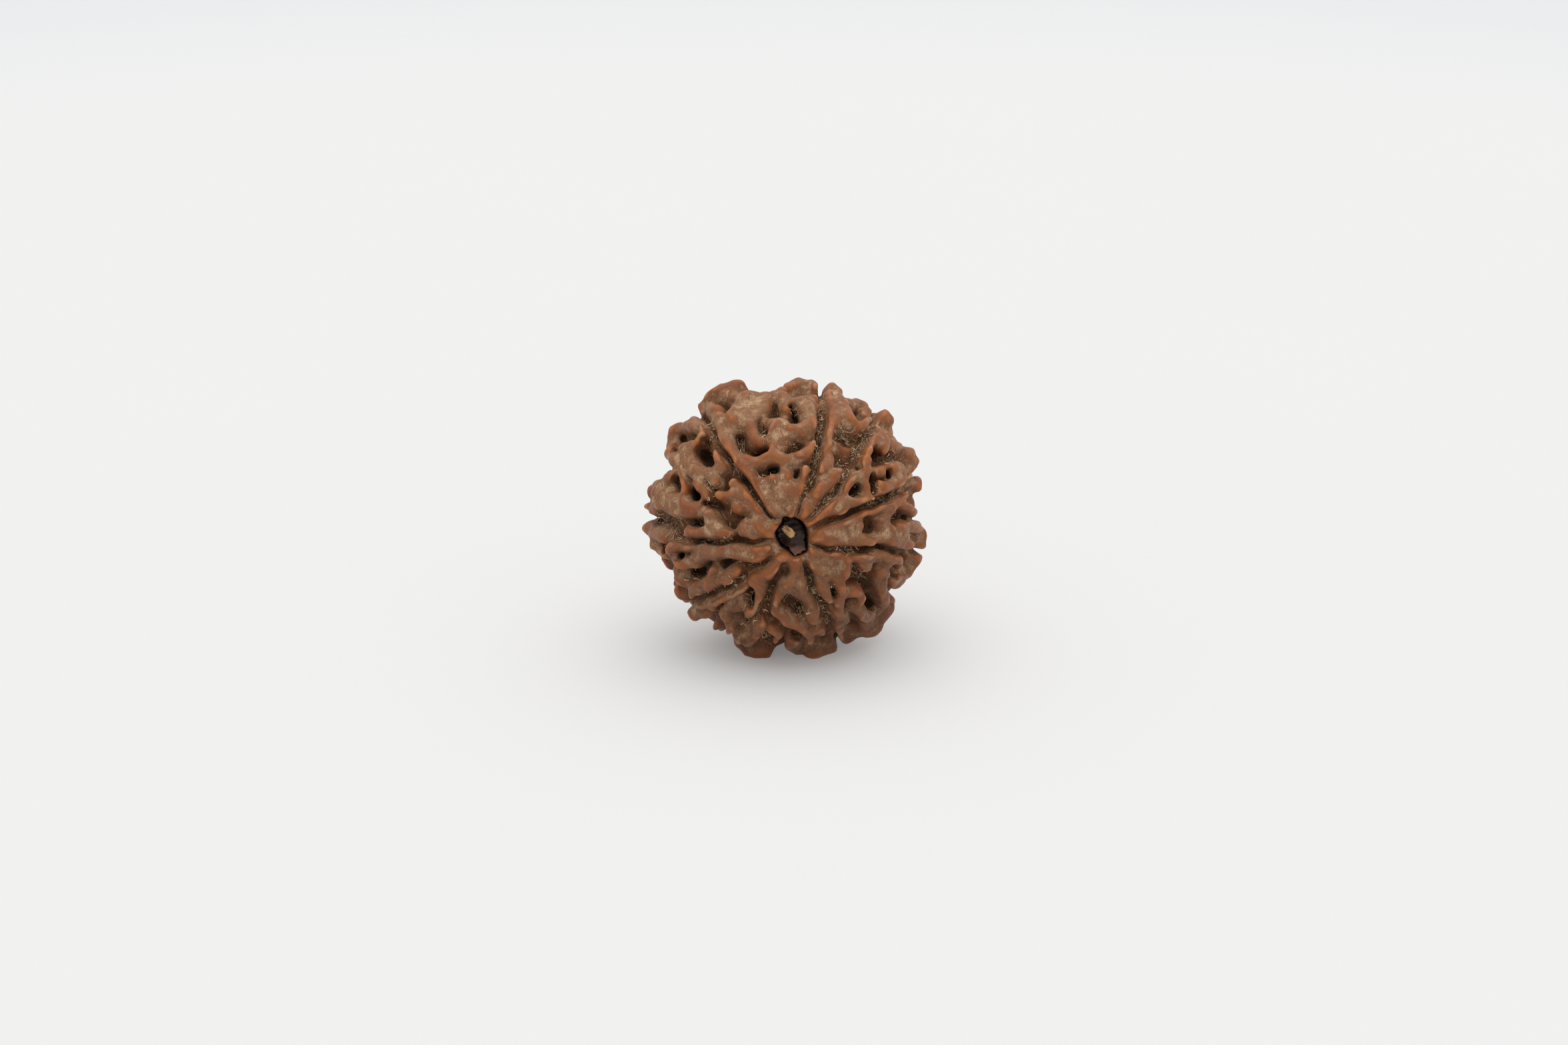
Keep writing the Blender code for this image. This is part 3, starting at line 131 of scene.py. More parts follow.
GROOVE_WIDTHS = ([0.0, 0.15, 0.45, 0.8, 1.0], [0.45, 0.62, 0.85, 0.8, 0.6])     # shares along it
GROOVE_DEPTHS = ([0.0, 0.2, 0.5, 0.8, 1.0], [0.45, 0.62, 0.95, 0.7, 0.32])
SEED = 9
REACHES = (("edge", 0.30), ("full", 0.55), ("deep", 1.5))      # how far round the share of stone is taken
MOUTH_SHADE = 0.12      # width of the edge where the painted shade on the mouth's wall begins
WALL_BELOW = 0.30       # it begins this far under the level round the mouth
WALL_FADE = 0.25
PITH_SECTORS = 180      # fineness of the pith's face, round it and outwards
PITH_ROUNDS = 46
STRAND_SECTORS = 72     # and of the strand, round it and along it
STRAND_STEPS = 60
CRACK_R = 0.045         # half width of a hairline crack
CRACK_SINK = 0.005      # how deep it lies in the surface
CRACK_STEPS = 22
CRACK_STRAY = 0.012     # how unevenly it runs
CRACK_JUMP = 1.0        # longest step from place to place
CRACK_SHAPE = ([0.0, 0.12, 0.7, 1.0], [0.5, 1.0, 0.9, 0.15])      # its width along its length
CRACK_SHADE = (0.012, 0.007, 0.005)
CRACK_BROWN = (0.05, 0.025, 0.016)
THREAD_STEPS = 8        # stretches of one fibre
THREAD_SIDES = 3
THREAD_SHAPE = ([0.0, 0.15, 0.75, 1.0], [0.45, 1.0, 0.85, 0.25])    # its width along its length
THREAD_CURL = 0.85      # how much it bends over its length
THREAD_SHAKE = 0.16     # and at each stretch
THREAD_TRIES = 4        # ways tried for one with room
STRAND_JUMP = 1.6       # longest step of a drawn fibre
LINT_STEPS = 3
LINT_SHAPE = np.array([0.5, 1.0, 0.9, 0.3])
LENS = 90.0             # the photo's lens and sensor, in millimetres
SENSOR = 36.0
CENTRE_LEFT = 0.06      # the photo's middle is this far left of the seed's, and this far below it
CENTRE_DOWN = 0.35

# Mouth of the canal, seen from the front.
MOUTH = [(-0.1, 0.0), (0.9, -0.1), (1.6, -0.4), (2.1, -1.1), (2.2, -1.7), (2.2, -3.2),
         (0.9, -3.7), (0.4, -3.2), (-0.3, -2.9), (-0.7, -2.1), (-0.9, -1.3), (-0.2, -0.7)]

# Grooves between the lobes: half width, depth, then the line from the mouth out to the edge.
GROOVES = [
    (0.30, 1.9, (-0.7, -0.2), (-1.2, 0.3), (-1.9, 1.1), (-2.6, 2.0), (-3.2, 3.0), (-3.9, 3.7),
     (-4.5, 4.5), (-5.0, 5.4), (-5.7, 6.3), (-6.2, 7.2), (-6.7, 8.1), (-7.3, 8.9), (-7.9, 9.4)),
    (0.30, 1.9, (1.0, 0.2), (1.4, 1.2), (1.8, 2.3), (2.2, 3.4), (2.6, 4.4), (2.8, 5.4),
     (3.0, 6.6), (3.1, 7.6), (3.3, 8.6), (3.4, 9.6), (3.3, 10.6), (3.2, 11.6), (3.2, 11.9)),
    (0.30, 1.9, (2.1, -0.2), (3.0, 0.7), (3.7, 1.5), (4.4, 2.3), (5.0, 3.2), (5.7, 4.1),
     (6.1, 4.9), (6.4, 5.8), (6.9, 6.6), (7.4, 7.5), (7.7, 8.3), (7.7, 9.0), (7.6, 9.6)),
    (0.36, 1.9, (2.5, -0.8), (3.6, -0.3), (4.8, 0.2), (6.0, 0.6), (7.2, 1.1), (8.2, 1.5),
     (9.1, 1.8), (9.9, 2.2), (10.6, 2.8), (11.2, 3.4), (11.6, 4.1)),
    (0.28, 1.8, (2.5, -2.3), (3.6, -2.6), (5.0, -2.8), (6.2, -2.7), (7.3, -2.7), (8.3, -2.5),
     (9.2, -2.8), (10.3, -3.0), (11.3, -2.9), (12.1, -2.7)),
    (0.30, 1.9, (1.6, -4.1), (1.9, -4.9), (2.4, -5.8), (2.9, -6.6), (3.3, -7.4), (3.7, -8.3),
     (3.9, -9.2), (4.3, -10.0), (4.7, -10.7), (5.0, -11.3)),
    (0.30, 1.8, (-0.3, -3.9), (-0.8, -5.0), (-1.1, -6.0), (-1.5, -6.9), (-1.8, -7.8), (-2.3, -8.6),
     (-2.9, -9.2), (-3.6, -9.5), (-4.3, -10.1)),
    (0.30, 1.9, (-1.2, -3.5), (-2.3, -4.1), (-3.3, -4.8), (-4.1, -5.5), (-5.0, -6.0), (-6.0, -6.5),
     (-7.0, -7.0), (-8.0, -7.4), (-8.8, -7.5), (-9.4, -7.3)),
    (0.26, 1.8, (-1.2, -1.8), (-2.4, -1.9), (-3.8, -2.0), (-4.9, -1.9), (-6.0, -2.1), (-7.4, -2.1),
     (-8.8, -1.9), (-9.7, -1.5), (-10.5, -0.7), (-11.4, 0.0), (-12.2, 0.5)),
]

# Ridges, horns and swells: half width, height of the top against the crest surface, then the line.
RIDGES = [
    # upper lobe, wedge beside the mouth
    (0.42, 0.00, (-2.9, 3.2), (-2.3, 2.3), (-1.6, 1.5), (-0.9, 0.6)),
    (0.38, 0.00, (1.9, 4.3), (1.7, 3.4), (1.4, 2.4), (1.1, 1.4), (0.8, 0.4)),
    (0.95, -0.25, (-1.3, 2.3), (-0.2, 2.2), (0.8, 2.5)),
    (0.75, -0.25, (-0.4, 1.1), (0.5, 1.1)),
    (0.50, -0.25, (-0.2, 3.3), (0.1, 4.0), (-0.2, 4.8), (-0.3, 5.4)),
    (0.35, -0.15, (-2.2, 3.4), (-1.6, 3.3), (-1.0, 3.5)),
    # upper lobe, left shoulder and the rims of its pits
    (0.55, 0.05, (-5.8, 8.5), (-5.5, 7.4), (-5.0, 6.4), (-4.6, 5.7), (-4.1, 5.0), (-3.7, 4.4), (-3.3, 3.9)),
    (0.45, 0.00, (-4.1, 5.3), (-3.4, 5.3), (-2.6, 5.2), (-2.0, 5.5), (-1.4, 6.0)),
    (0.45, 0.05, (-1.4, 5.8), (-0.6, 5.4), (0.4, 5.4), (1.3, 5.6), (2.1, 6.1), (2.6, 6.8)),
    (0.80, -0.15, (-1.0, 6.3), (-0.8, 7.3), (-0.5, 8.2)),
    (0.40, -0.15, (-3.1, 8.4), (-3.0, 7.5), (-2.4, 6.9), (-1.6, 6.9)),
    (0.60, -0.30, (-1.2, 8.8), (-0.3, 8.8), (0.2, 8.0), (-0.1, 7.0)),
    # upper lobe, broad smooth swell up to the edge
    (1.20, 0.05, (-4.5, 9.1), (-4.0, 10.1), (-3.3, 10.7)),
    (0.95, -0.05, (-3.4, 9.2), (-2.4, 9.9), (-2.2, 10.5)),
    (0.55, 0.05, (-6.4, 9.1), (-5.6, 8.9), (-4.8, 8.8)),
    (0.50, 0.00, (-7.3, 9.7), (-6.8, 9.9), (-6.3, 9.7)),
    (0.50, 0.00, (-7.4, 10.1), (-6.9, 11.0), (-6.2, 11.7), (-5.3, 12.1), (-4.2, 12.1)),
    (0.42, 0.20, (-5.5, 11.2), (-4.8, 11.2), (-3.9, 10.9)),
    (0.60, -0.10, (-3.2, 11.2), (-2.2, 10.9), (-1.2, 11.1), (-0.3, 11.5)),
    # upper lobe, right hand mass
    (0.45, 0.05, (-0.1, 11.0), (0.2, 10.5), (0.2, 10.1)),
    (0.45, 0.05, (0.7, 10.7), (1.6, 10.7), (2.6, 10.8)),
    (0.65, 0.05, (2.3, 10.3), (2.1, 9.6), (2.4, 8.9), (1.9, 8.3)),
    (0.45, 0.05, (2.4, 8.6), (1.4, 8.2), (0.6, 8.2)),
    (0.60, 0.00, (0.6, 12.2), (1.2, 12.5), (1.9, 12.2)),
    (0.32, 0.00, (2.6, 12.3), (2.8, 11.8)),
    # second lobe
    (0.55, -0.05, (1.8, 0.5), (2.4, 1.4), (3.0, 2.3), (3.6, 3.1)),
    (0.45, 0.00, (3.6, 3.1), (4.3, 3.7), (4.9, 4.2)),
    (0.42, 0.00, (3.2, 4.1), (3.6, 4.8), (4.1, 5.4), (4.0, 6.2), (3.8, 7.0), (3.9, 7.8), (4.2, 8.6),
     (4.5, 9.4), (4.4, 10.2), (4.0, 10.9), (3.9, 11.8)),
    (0.60, 0.00, (3.8, 11.9), (4.3, 11.9)),
    (0.55, 0.00, (4.7, 9.0), (5.0, 9.6), (4.9, 10.2)),
    (0.45, 0.00, (4.5, 11.9), (4.9, 11.1), (5.3, 10.3), (5.5, 9.5), (5.6, 8.9)),
    (0.80, -0.85, (4.5, 6.4), (5.3, 6.2), (6.0, 5.6)),
    (0.42, 0.00, (5.8, 9.6), (5.9, 8.8), (6.6, 8.4), (7.3, 8.5), (7.6, 8.9)),
    (0.42, 0.00, (5.9, 10.4), (6.5, 10.5), (7.3, 10.2), (7.3, 9.5)),
    # third lobe
    (0.48, 0.00, (2.5, -0.4), (3.4, 0.5), (4.3, 1.4), (5.0, 2.2), (5.7, 3.1), (6.3, 3.8)),
    (0.48, -0.08, (3.3, -0.1), (4.3, 0.6), (5.3, 1.0)),
    (0.42, 0.00, (5.2, 1.4), (6.1, 1.5), (7.0, 1.6), (7.6, 1.9), (7.4, 2.8), (7.1, 3.6), (7.1, 4.3)),
    (0.40, 0.00, (7.1, 4.3), (8.0, 4.2), (8.8, 4.4)),
    (0.70, 0.10, (8.4, 2.9), (9.0, 2.6), (9.8, 2.8), (10.4, 3.4), (10.8, 4.1), (10.4, 4.6), (9.7, 4.6)),
    (0.42, 0.20, (6.9, 4.9), (7.4, 5.3)),
    (0.52, 0.10, (7.5, 6.2), (7.9, 6.7), (8.4, 7.2), (8.8, 7.6), (9.1, 7.1), (8.9, 6.6)),
    (0.60, 0.00, (8.2, 9.6), (9.0, 9.6), (9.4, 8.9), (9.5, 8.0), (9.6, 7.1)),
    (0.38, 0.00, (8.1, 9.1), (8.2, 8.4), (8.5, 8.0)),
    (0.62, 0.00, (9.9, 6.5), (10.7, 6.3), (11.4, 5.9), (11.9, 5.3), (11.6, 4.6)),
    # fourth lobe
    (0.42, -0.05, (3.3, -1.5), (4.6, -0.9), (5.8, -0.1), (7.0, 0.5), (8.2, 0.9), (9.2, 1.1), (10.0, 1.7),
     (10.7, 2.3)),
    (0.42, 0.00, (2.9, -2.0), (4.2, -1.9), (6.0, -1.9), (7.3, -2.1), (8.0, -2.2)),
    (0.75, -0.25, (4.4, -1.5), (5.6, -1.1), (6.6, -0.8)),
    (0.50, -0.10, (9.9, 1.2), (9.4, 0.4), (9.2, -0.4), (9.6, -1.1)),
    (0.38, 0.00, (10.3, 1.6), (11.0, 1.1), (11.7, 0.6)),
    (0.34, 0.10, (11.0, 2.4), (11.4, 3.0)),
    (0.45, 0.00, (11.3, 3.4), (12.0, 3.5), (11.9, 2.9)),
    (0.68, 0.05, (9.2, -1.9), (10.2, -1.7), (11.0, -1.9)),
    (0.50, 0.00, (10.6, -0.8), (11.4, -0.7), (12.0, -0.9), (12.4, -1.3), (12.2, -2.2)),
    (0.40, 0.00, (8.7, -2.2), (9.8, -2.5), (11.2, -2.5)),
    # fifth lobe
    (0.42, 0.00, (2.6, -3.0), (3.8, -3.2), (5.0, -3.3), (5.6, -3.6)),
    (0.85, -0.15, (2.9, -3.8), (3.8, -4.4), (4.7, -4.9)),
    (0.65, -0.15, (4.4, -3.9), (5.3, -4.2), (5.3, -5.0)),
    (0.50, 0.00, (3.0, -4.6), (3.4, -5.6), (3.7, -6.6), (3.9, -7.3)),
    (0.45, 0.00, (4.8, -5.6), (5.1, -6.8), (5.0, -7.8), (4.8, -8.7), (4.8, -9.5), (5.1, -10.2)),
    (0.42, 0.00, (5.2, -9.0), (5.4, -9.5)),
    (0.48, 0.05, (6.5, -3.4), (7.5, -3.4), (8.6, -3.4), (9.6, -3.6), (10.4, -3.9), (10.5, -4.2)),
    (0.42, 0.00, (7.1, -3.7), (7.5, -4.4)),
    (0.40, 0.00, (9.0, -3.7), (9.3, -4.2)),
    (0.60, 0.00, (9.2, -4.9), (9.1, -6.0), (9.0, -7.0), (8.9, -8.0)),
    (0.50, 0.00, (12.4, -3.0), (11.9, -3.9), (11.4, -4.7), (10.9, -5.4), (10.1, -5.8)),
    (0.42, 0.05, (6.1, -6.8), (6.8, -6.9), (6.9, -7.6), (6.4, -8.2)),
    (0.42, 0.00, (6.4, -8.3), (7.2, -8.8), (8.0, -8.8), (8.5, -8.5)),
    (0.62, 0.00, (7.4, -9.5), (8.2, -9.2)),
    (0.45, 0.00, (6.9, -10.3), (7.6, -10.4), (8.4, -9.9)),
    (0.50, 0.00, (9.6, -7.6), (9.4, -8.3), (8.9, -9.1)),
    (0.60, 0.05, (5.0, -10.9), (5.5, -11.1), (6.0, -10.9)),
    # sixth lobe
    (0.62, 0.00, (0.9, -4.3), (1.0, -5.1), (1.2, -5.9)),
    (0.42, 0.00, (0.5, -5.7), (0.0, -6.5), (-0.5, -7.2), (-0.9, -7.8)),
    (0.44, 0.00, (1.4, -6.2), (1.9, -7.2), (2.4, -8.2), (2.6, -8.8)),
    (0.62, 0.05, (2.6, -8.8), (2.6, -9.2)),
    (0.40, -0.15, (0.2, -6.4), (1.0, -6.9), (1.6, -7.0)),
    (0.42, 0.00, (-0.8, -8.5), (0.1, -9.2), (1.2, -9.7), (2.0, -10.2), (2.3, -11.0)),
    (0.42, 0.00, (2.4, -10.3), (3.2, -10.2), (3.8, -10.3)),
    (0.62, 0.00, (0.7, -11.4), (1.7, -12.2), (3.0, -12.5), (4.2, -12.1), (4.5, -11.3)),
    (0.48, 0.00, (-2.2, -9.7), (-2.8, -10.6), (-3.3, -11.4)),
    (0.55, 0.00, (-3.7, -11.8), (-2.7, -12.2), (-1.8, -11.8)),
    (0.45, 0.00, (-3.9, -10.4), (-4.2, -10.9), (-3.9, -11.6)),
    (0.38, -0.20, (-1.2, -10.0), (-0.6, -10.4), (-0.8, -11.0)),
    # seventh lobe
    (0.58, 0.00, (-0.3, -3.8), (-1.2, -4.7), (-2.1, -5.4), (-2.8, -5.9)),
    (0.48, 0.00, (-2.3, -5.7), (-2.2, -6.6), (-2.5, -7.7), (-3.1, -8.7)),
    (0.44, 0.00, (-4.0, -6.4), (-4.9, -6.8), (-5.7, -7.3), (-6.4, -7.7)),
    (0.80, -0.35, (-4.8, -8.2), (-4.2, -7.9)),
    (0.34, 0.00, (-5.3, -9.1), (-4.9, -9.9)),
    (0.40, 0.00, (-5.5, -8.6), (-5.2, -9.1)),
    (0.55, 0.00, (-8.5, -8.1), (-8.0, -8.5), (-7.4, -8.6)),
    (0.45, 0.00, (-8.2, -7.9), (-7.2, -7.8), (-6.6, -8.1)),
    # eighth lobe
    (0.36, 0.00, (-1.5, -2.6), (-2.8, -2.7), (-4.2, -2.7), (-5.4, -2.8)),
    (0.36, 0.00, (-2.0, -3.4), (-3.2, -3.6), (-4.4, -3.4), (-5.6, -3.2)),
    (0.50, -0.15, (-2.0, -3.0), (-3.4, -3.1), (-4.8, -3.1)),
    (0.50, 0.00, (-5.9, -3.0), (-7.2, -2.7), (-8.6, -2.5), (-9.8, -2.3)),
    (0.50, 0.00, (-6.4, -3.3), (-7.6, -3.4), (-8.4, -4.0), (-9.2, -4.0), (-9.9, -3.6), (-10.2, -2.9),
     (-9.9, -2.4)),
    (0.42, 0.00, (-11.9, -1.9), (-11.6, -2.6), (-11.1, -3.1), (-10.7, -3.3)),
    (0.55, 0.00, (-12.4, -0.9), (-11.7, -1.4), (-11.0, -1.8)),
    (0.55, -0.15, (-4.3, -4.9), (-5.2, -5.3), (-6.2, -5.8), (-7.4, -6.3), (-8.3, -6.8)),
    (0.32, -0.15, (-6.5, -4.6), (-6.8, -5.5)),
    (0.32, -0.05, (-8.1, -6.2), (-8.5, -6.8)),
    (0.50, 0.00, (-9.9, -4.8), (-9.6, -5.4), (-9.0, -5.9)),
    (0.50, 0.00, (-9.7, -6.6), (-9.3, -7.1)),
    # ninth lobe, beside the mouth
    (0.70, -0.10, (-1.5, -0.9), (-2.6, -0.8), (-3.6, -0.9)),
    (0.38, 0.00, (-1.5, -1.4), (-2.8, -1.5), (-3.9, -1.5)),
    (0.70, -0.18, (-1.4, -0.2), (-2.4, 0.5), (-3.5, 1.1), (-4.4, 1.3)),
    (0.42, 0.00, (-1.6, 0.4), (-2.4, 1.2), (-3.3, 2.1), (-4.0, 2.8), (-4.6, 3.3)),
    (0.38, 0.00, (-4.0, 2.1), (-5.0, 2.2), (-5.8, 2.1)),
    (0.45, 0.00, (-5.2, -1.3), (-6.2, -1.4), (-7.6, -1.4), (-8.8, -1.1)),
    (0.55, -0.05, (-5.8, -1.0), (-6.6, -0.5), (-7.0, 0.2)),
    # ninth lobe, left hand plate and its pits
    (0.65, 0.00, (-11.5, 2.2), (-10.4, 1.9), (-9.4, 1.4), (-8.5, 0.9)),
    (0.42, 0.05, (-11.7, 1.4), (-10.3, 1.0), (-9.2, 0.6), (-8.4, 0.4)),
    (0.38, -0.10, (-8.1, 0.7), (-7.6, 1.3), (-7.4, 2.0), (-7.5, 2.7), (-7.9, 3.2)),
    (0.26, -0.05, (-9.3, 4.7), (-9.1, 3.4), (-9.0, 2.6), (-9.1, 2.1)),
    (0.50, 0.00, (-12.1, 2.4), (-11.5, 3.0), (-10.8, 3.4), (-10.2, 3.9)),
    (0.42, 0.00, (-12.4, 1.0), (-11.6, 0.8)),
    (0.50, 0.00, (-8.3, 9.0), (-7.7, 9.3)),
    # ninth lobe, rings round the deep pits
    (0.55, 0.05, (-9.3, 6.1), (-8.8, 5.3), (-8.4, 4.5), (-7.5, 4.2), (-6.8, 4.0), (-6.4, 3.5)),
    (0.42, 0.00, (-6.2, 6.3), (-5.9, 5.5), (-5.6, 4.9), (-6.3, 4.5)),
    (0.42, 0.00, (-9.2, 6.4), (-8.5, 6.5), (-7.9, 6.4), (-7.5, 7.1), (-7.3, 7.9), (-7.5, 8.5), (-8.2, 8.8)),
    (0.55, 0.30, (-10.1, 8.0), (-9.3, 8.3), (-8.4, 8.3)),
    (0.48, 0.00, (-10.3, 7.6), (-10.4, 6.6), (-10.2, 5.7), (-9.9, 5.1)),
]

# Wide hollows sunk before the ridges: half width, depth, then the line.
HOLLOWS = [
    (0.60, 1.5, (-3.9, 5.9), (-2.9, 6.0), (-2.2, 6.1)),
    (0.60, 1.5, (1.0, 7.1), (2.2, 7.4)),
    (0.50, 1.4, (0.6, 4.8), (1.7, 4.9)),
    (0.65, 2.1, (4.8, 7.9), (5.5, 7.5), (6.3, 7.5)),
    (0.50, 1.6, (4.7, 5.5), (5.4, 5.0)),
    (0.55, 1.8, (8.3, 6.0), (8.6, 5.4), (9.4, 5.8)),
    (0.90, 1.9, (6.6, -4.9), (7.9, -5.1), (7.5, -6.1), (6.5, -5.8), (5.9, -5.9)),
    (0.60, 2.0, (-0.2, -7.7), (0.7, -8.1), (1.5, -8.4)),
    (0.50, 1.5, (-4.0, -4.1), (-5.5, -4.2), (-6.8, -4.3)),
    (0.50, 1.6, (-5.0, 1.3), (-6.0, 1.2), (-6.8, 1.2)),
    (0.45, 1.6, (-7.0, 3.2), (-6.6, 3.1), (-6.1, 2.9)),
    (0.55, 1.2, (-6.1, 10.6), (-5.7, 10.0)),
    (0.70, 1.6, (-7.6, -5.0), (-8.3, -5.0)),
    (0.40, 1.1, (5.9, -8.4), (5.9, -9.0)),
]

# Pits cut after the ridges: half width, depth, then the line.
PITS = [
    (0.32, 2.0, (-4.1, 7.4), (-4.0, 6.5)),
    (0.36, 2.1, (-2.7, 5.95), (-1.7, 6.15)),
    (0.38, 2.0, (-1.2, 4.5), (-0.8, 4.5)),
    (0.30, 0.9, (-2.3, 8.7), (-2.1, 8.2)),
    (0.28, 1.9, (0.5, 10.0), (0.8, 9.6), (1.1, 9.0)),
    (0.22, 1.3, (-1.1, 9.7), (-1.2, 9.4)),
    (0.30, 1.5, (0.6, 11.3), (0.9, 11.2)),
    (0.40, 1.1, (6.3, 9.4), (6.5, 9.3)),
    (0.42, 1.4, (6.1, 2.3), (6.5, 2.8)),
    (0.34, 1.5, (7.8, 3.8), (7.9, 3.1), (7.9, 2.4)),
    (0.30, 1.8, (9.3, 4.2), (9.4, 3.8)),
    (0.40, 2.1, (8.1, 6.1), (8.4, 5.7)),
    (0.30, 1.9, (9.4, 5.8), (9.5, 5.6)),
    (0.50, 1.4, (7.6, -0.3), (7.8, -0.9)),
    (0.32, 1.6, (10.4, 0.3), (10.9, 0.1)),
    (0.34, 1.9, (9.8, -5.1), (10.0, -5.2)),
    (0.20, 1.2, (9.7, -4.3), (9.8, -4.3)),
    (0.28, 1.5, (4.3, -6.3), (4.5, -6.9)),
    (0.48, 2.2, (7.6, -7.4), (7.8, -8.0)),
    (0.42, 2.0, (0.9, -10.6), (1.6, -10.8)),
    (0.36, 1.6, (2.9, -11.0), (3.5, -11.0)),
    (0.32, 1.9, (-1.8, -10.3), (-1.7, -10.7)),
    (0.26, 1.9, (-3.2, -6.6), (-2.9, -7.2), (-3.0, -7.8)),
    (0.20, 1.6, (-5.6, -7.7), (-5.9, -8.0)),
    (0.32, 2.2, (-9.4, -3.4), (-9.3, -3.4)),
    (0.22, 1.6, (-10.8, -2.4), (-10.7, -3.0)),
    (0.46, 2.1, (-8.3, -5.0), (-7.8, -5.0)),
    (0.40, 1.9, (-8.2, -0.4), (-7.8, -0.4)),
    (0.30, 1.5, (-5.2, -0.5), (-4.8, -0.8)),
    (0.42, 2.3, (-8.3, 2.5), (-8.2, 2.0)),
    (0.46, 1.5, (-9.8, 3.5), (-9.5, 2.8)),
    (0.62, 2.4, (-7.5, 6.0), (-7.1, 5.4)),
    (0.42, 1.7, (-7.1, 6.9), (-7.2, 6.4)),
    (0.42, 1.7, (-9.2, 7.3), (-8.6, 7.2), (-8.2, 7.3)),
    (0.45, 1.5, (0.0, -7.6), (0.7, -8.0), (1.3, -8.4)),
    (0.28, 1.3, (6.6, 4.5), (6.4, 5.0)),
    (0.24, 1.5, (-9.9, 6.1), (-9.9, 5.9)),
    (0.30, 1.5, (-7.2, 1.4), (-6.7, 1.3)),
]

# Low swells it rests on: half width, height over the crest surface, then (x, y) spots under it.
FEET = [(0.9, 0.75, (2.6, -3.5), (3.7, -2.7)), (0.8, 0.75, (-2.6, -3.4), (-3.3, -2.9)),
        (0.9, 1.05, (-0.6, 3.4), (0.8, 3.2))]

# Notch between the two swells in front: half width, depth, then (x, y) spots over it.
NOTCH = (0.6, 0.85, (-0.5, -5.2), (-0.6, -3.6), (-0.4, -2.0))

# Hairline cracks, seen from the front.
CRACKS = [
    [(-1.25, 0.42), (-1.0, 0.1), (-0.65, -0.27)],
    [(1.45, 1.15), (1.25, 0.65), (1.1, 0.3), (0.93, 0.05)],
    [(2.85, 0.6), (2.6, 0.3), (2.32, 0.08)],
    [(-1.6, -1.76), (-1.3, -1.77), (-1.0, -1.72)],
    [(2.24, -2.21), (2.7, -2.4), (3.3, -2.59), (3.97, -2.7)],
    [(1.57, -3.8), (1.7, -4.25), (1.95, -4.85), (2.28, -5.42)],
    [(-5.92, 6.62), (-5.5, 6.15), (-5.19, 5.79), (-4.9, 5.4), (-4.85, 4.9)],
]

# Tufts of shredded fibre: how many, how far they stray, then the line they lie along.
TUFTS = [
    (110, 0.22, (2.8, 5.2), (3.0, 6.6), (3.1, 8.0), (3.3, 9.6), (3.2, 11.4)),
    (40, 0.18, (2.3, 3.2), (2.6, 4.4), (2.8, 5.4)),
    (90, 0.30, (4.4, 2.4), (5.2, 3.5), (5.8, 4.3), (6.3, 5.5), (6.8, 6.5), (7.4, 7.5), (7.6, 8.6)),
    (60, 0.45, (4.5, 7.5), (5.4, 7.5), (6.2, 7.6)),
    (40, 0.30, (6.9, 7.4), (7.7, 7.2), (6.8, 6.5)),
    (36, 0.30, (6.2, 5.8), (6.6, 6.2)),
    (18, 0.25, (4.7, 4.8), (5.2, 4.6)),
    (16, 0.18, (5.1, 3.7), (5.7, 4.0)),
    (50, 0.30, (7.0, 1.2), (8.0, 1.5), (9.1, 1.8), (10.2, 2.4)),
    (26, 0.30, (9.1, 5.2), (9.6, 4.9)),
    (16, 0.25, (9.4, 6.0), (9.6, 5.6)),
    (8, 0.12, (8.1, 2.9), (8.3, 2.8)),
    (80, 0.35, (-11.2, 0.1), (-10.5, -0.5), (-9.8, -1.1), (-9.1, -1.6)),
    (26, 0.20, (-10.7, 0.7), (-10.2, 0.3), (-9.6, 0.0), (-9.1, -0.4)),
    (30, 0.15, (-3.75, 7.0), (-3.7, 5.8)),
    (20, 0.25, (-2.1, 7.4), (-1.6, 7.0)),
    (14, 0.20, (0.4, 6.7), (0.8, 6.3)),
    (20, 0.22, (-4.6, 4.9), (-3.9, 3.9)),
    (12, 0.18, (-2.3, 3.6), (-1.7, 3.3)),
    (12, 0.20, (-1.2, 3.9), (-0.5, 3.8)),
    (26, 0.28, (-7.1, 3.1), (-6.3, 2.9)),
    (6, 0.15, (-6.7, 1.8), (-6.4, 1.9)),
    (18, 0.25, (-6.6, 4.0), (-6.0, 3.6)),
    (24, 0.22, (-6.0, -2.0), (-4.8, -1.7)),
    (26, 0.30, (-6.6, 7.8), (-5.7, 9.3)),
    (16, 0.22, (-6.1, 6.9), (-6.5, 7.5)),
    (30, 0.40, (0.9, -8.0), (1.9, -8.3)),
    (40, 0.22, (2.5, -6.0), (3.1, -7.2), (3.9, -8.9)),
    (40, 0.22, (-0.9, -5.4), (-1.5, -6.9), (-2.3, -8.6), (-3.4, -9.4)),
    (18, 0.22, (-1.8, -10.2), (-1.6, -10.8)),
    (16, 0.25, (7.5, -8.5), (8.1, -8.6)),
    (14, 0.20, (4.3, -6.3), (4.5, -6.9)),
    (34, 0.20, (4.0, -2.7), (5.2, -2.8), (6.0, -3.2)),
    (16, 0.30, (6.5, -4.7), (7.1, -4.8)),
    (26, 0.20, (1.5, 1.5), (2.1, 3.0)),
    (26, 0.20, (2.9, 0.7), (4.0, 1.9)),
    (24, 0.25, (-3.6, -5.1), (-5.2, -6.1)),
    (14, 0.30, (-8.1, -4.9), (-7.6, -5.2)),
    (12, 0.20, (-3.0, -6.7), (-2.9, -7.8)),
    (14, 0.20, (0.7, 9.8), (1.1, 9.1)),
]

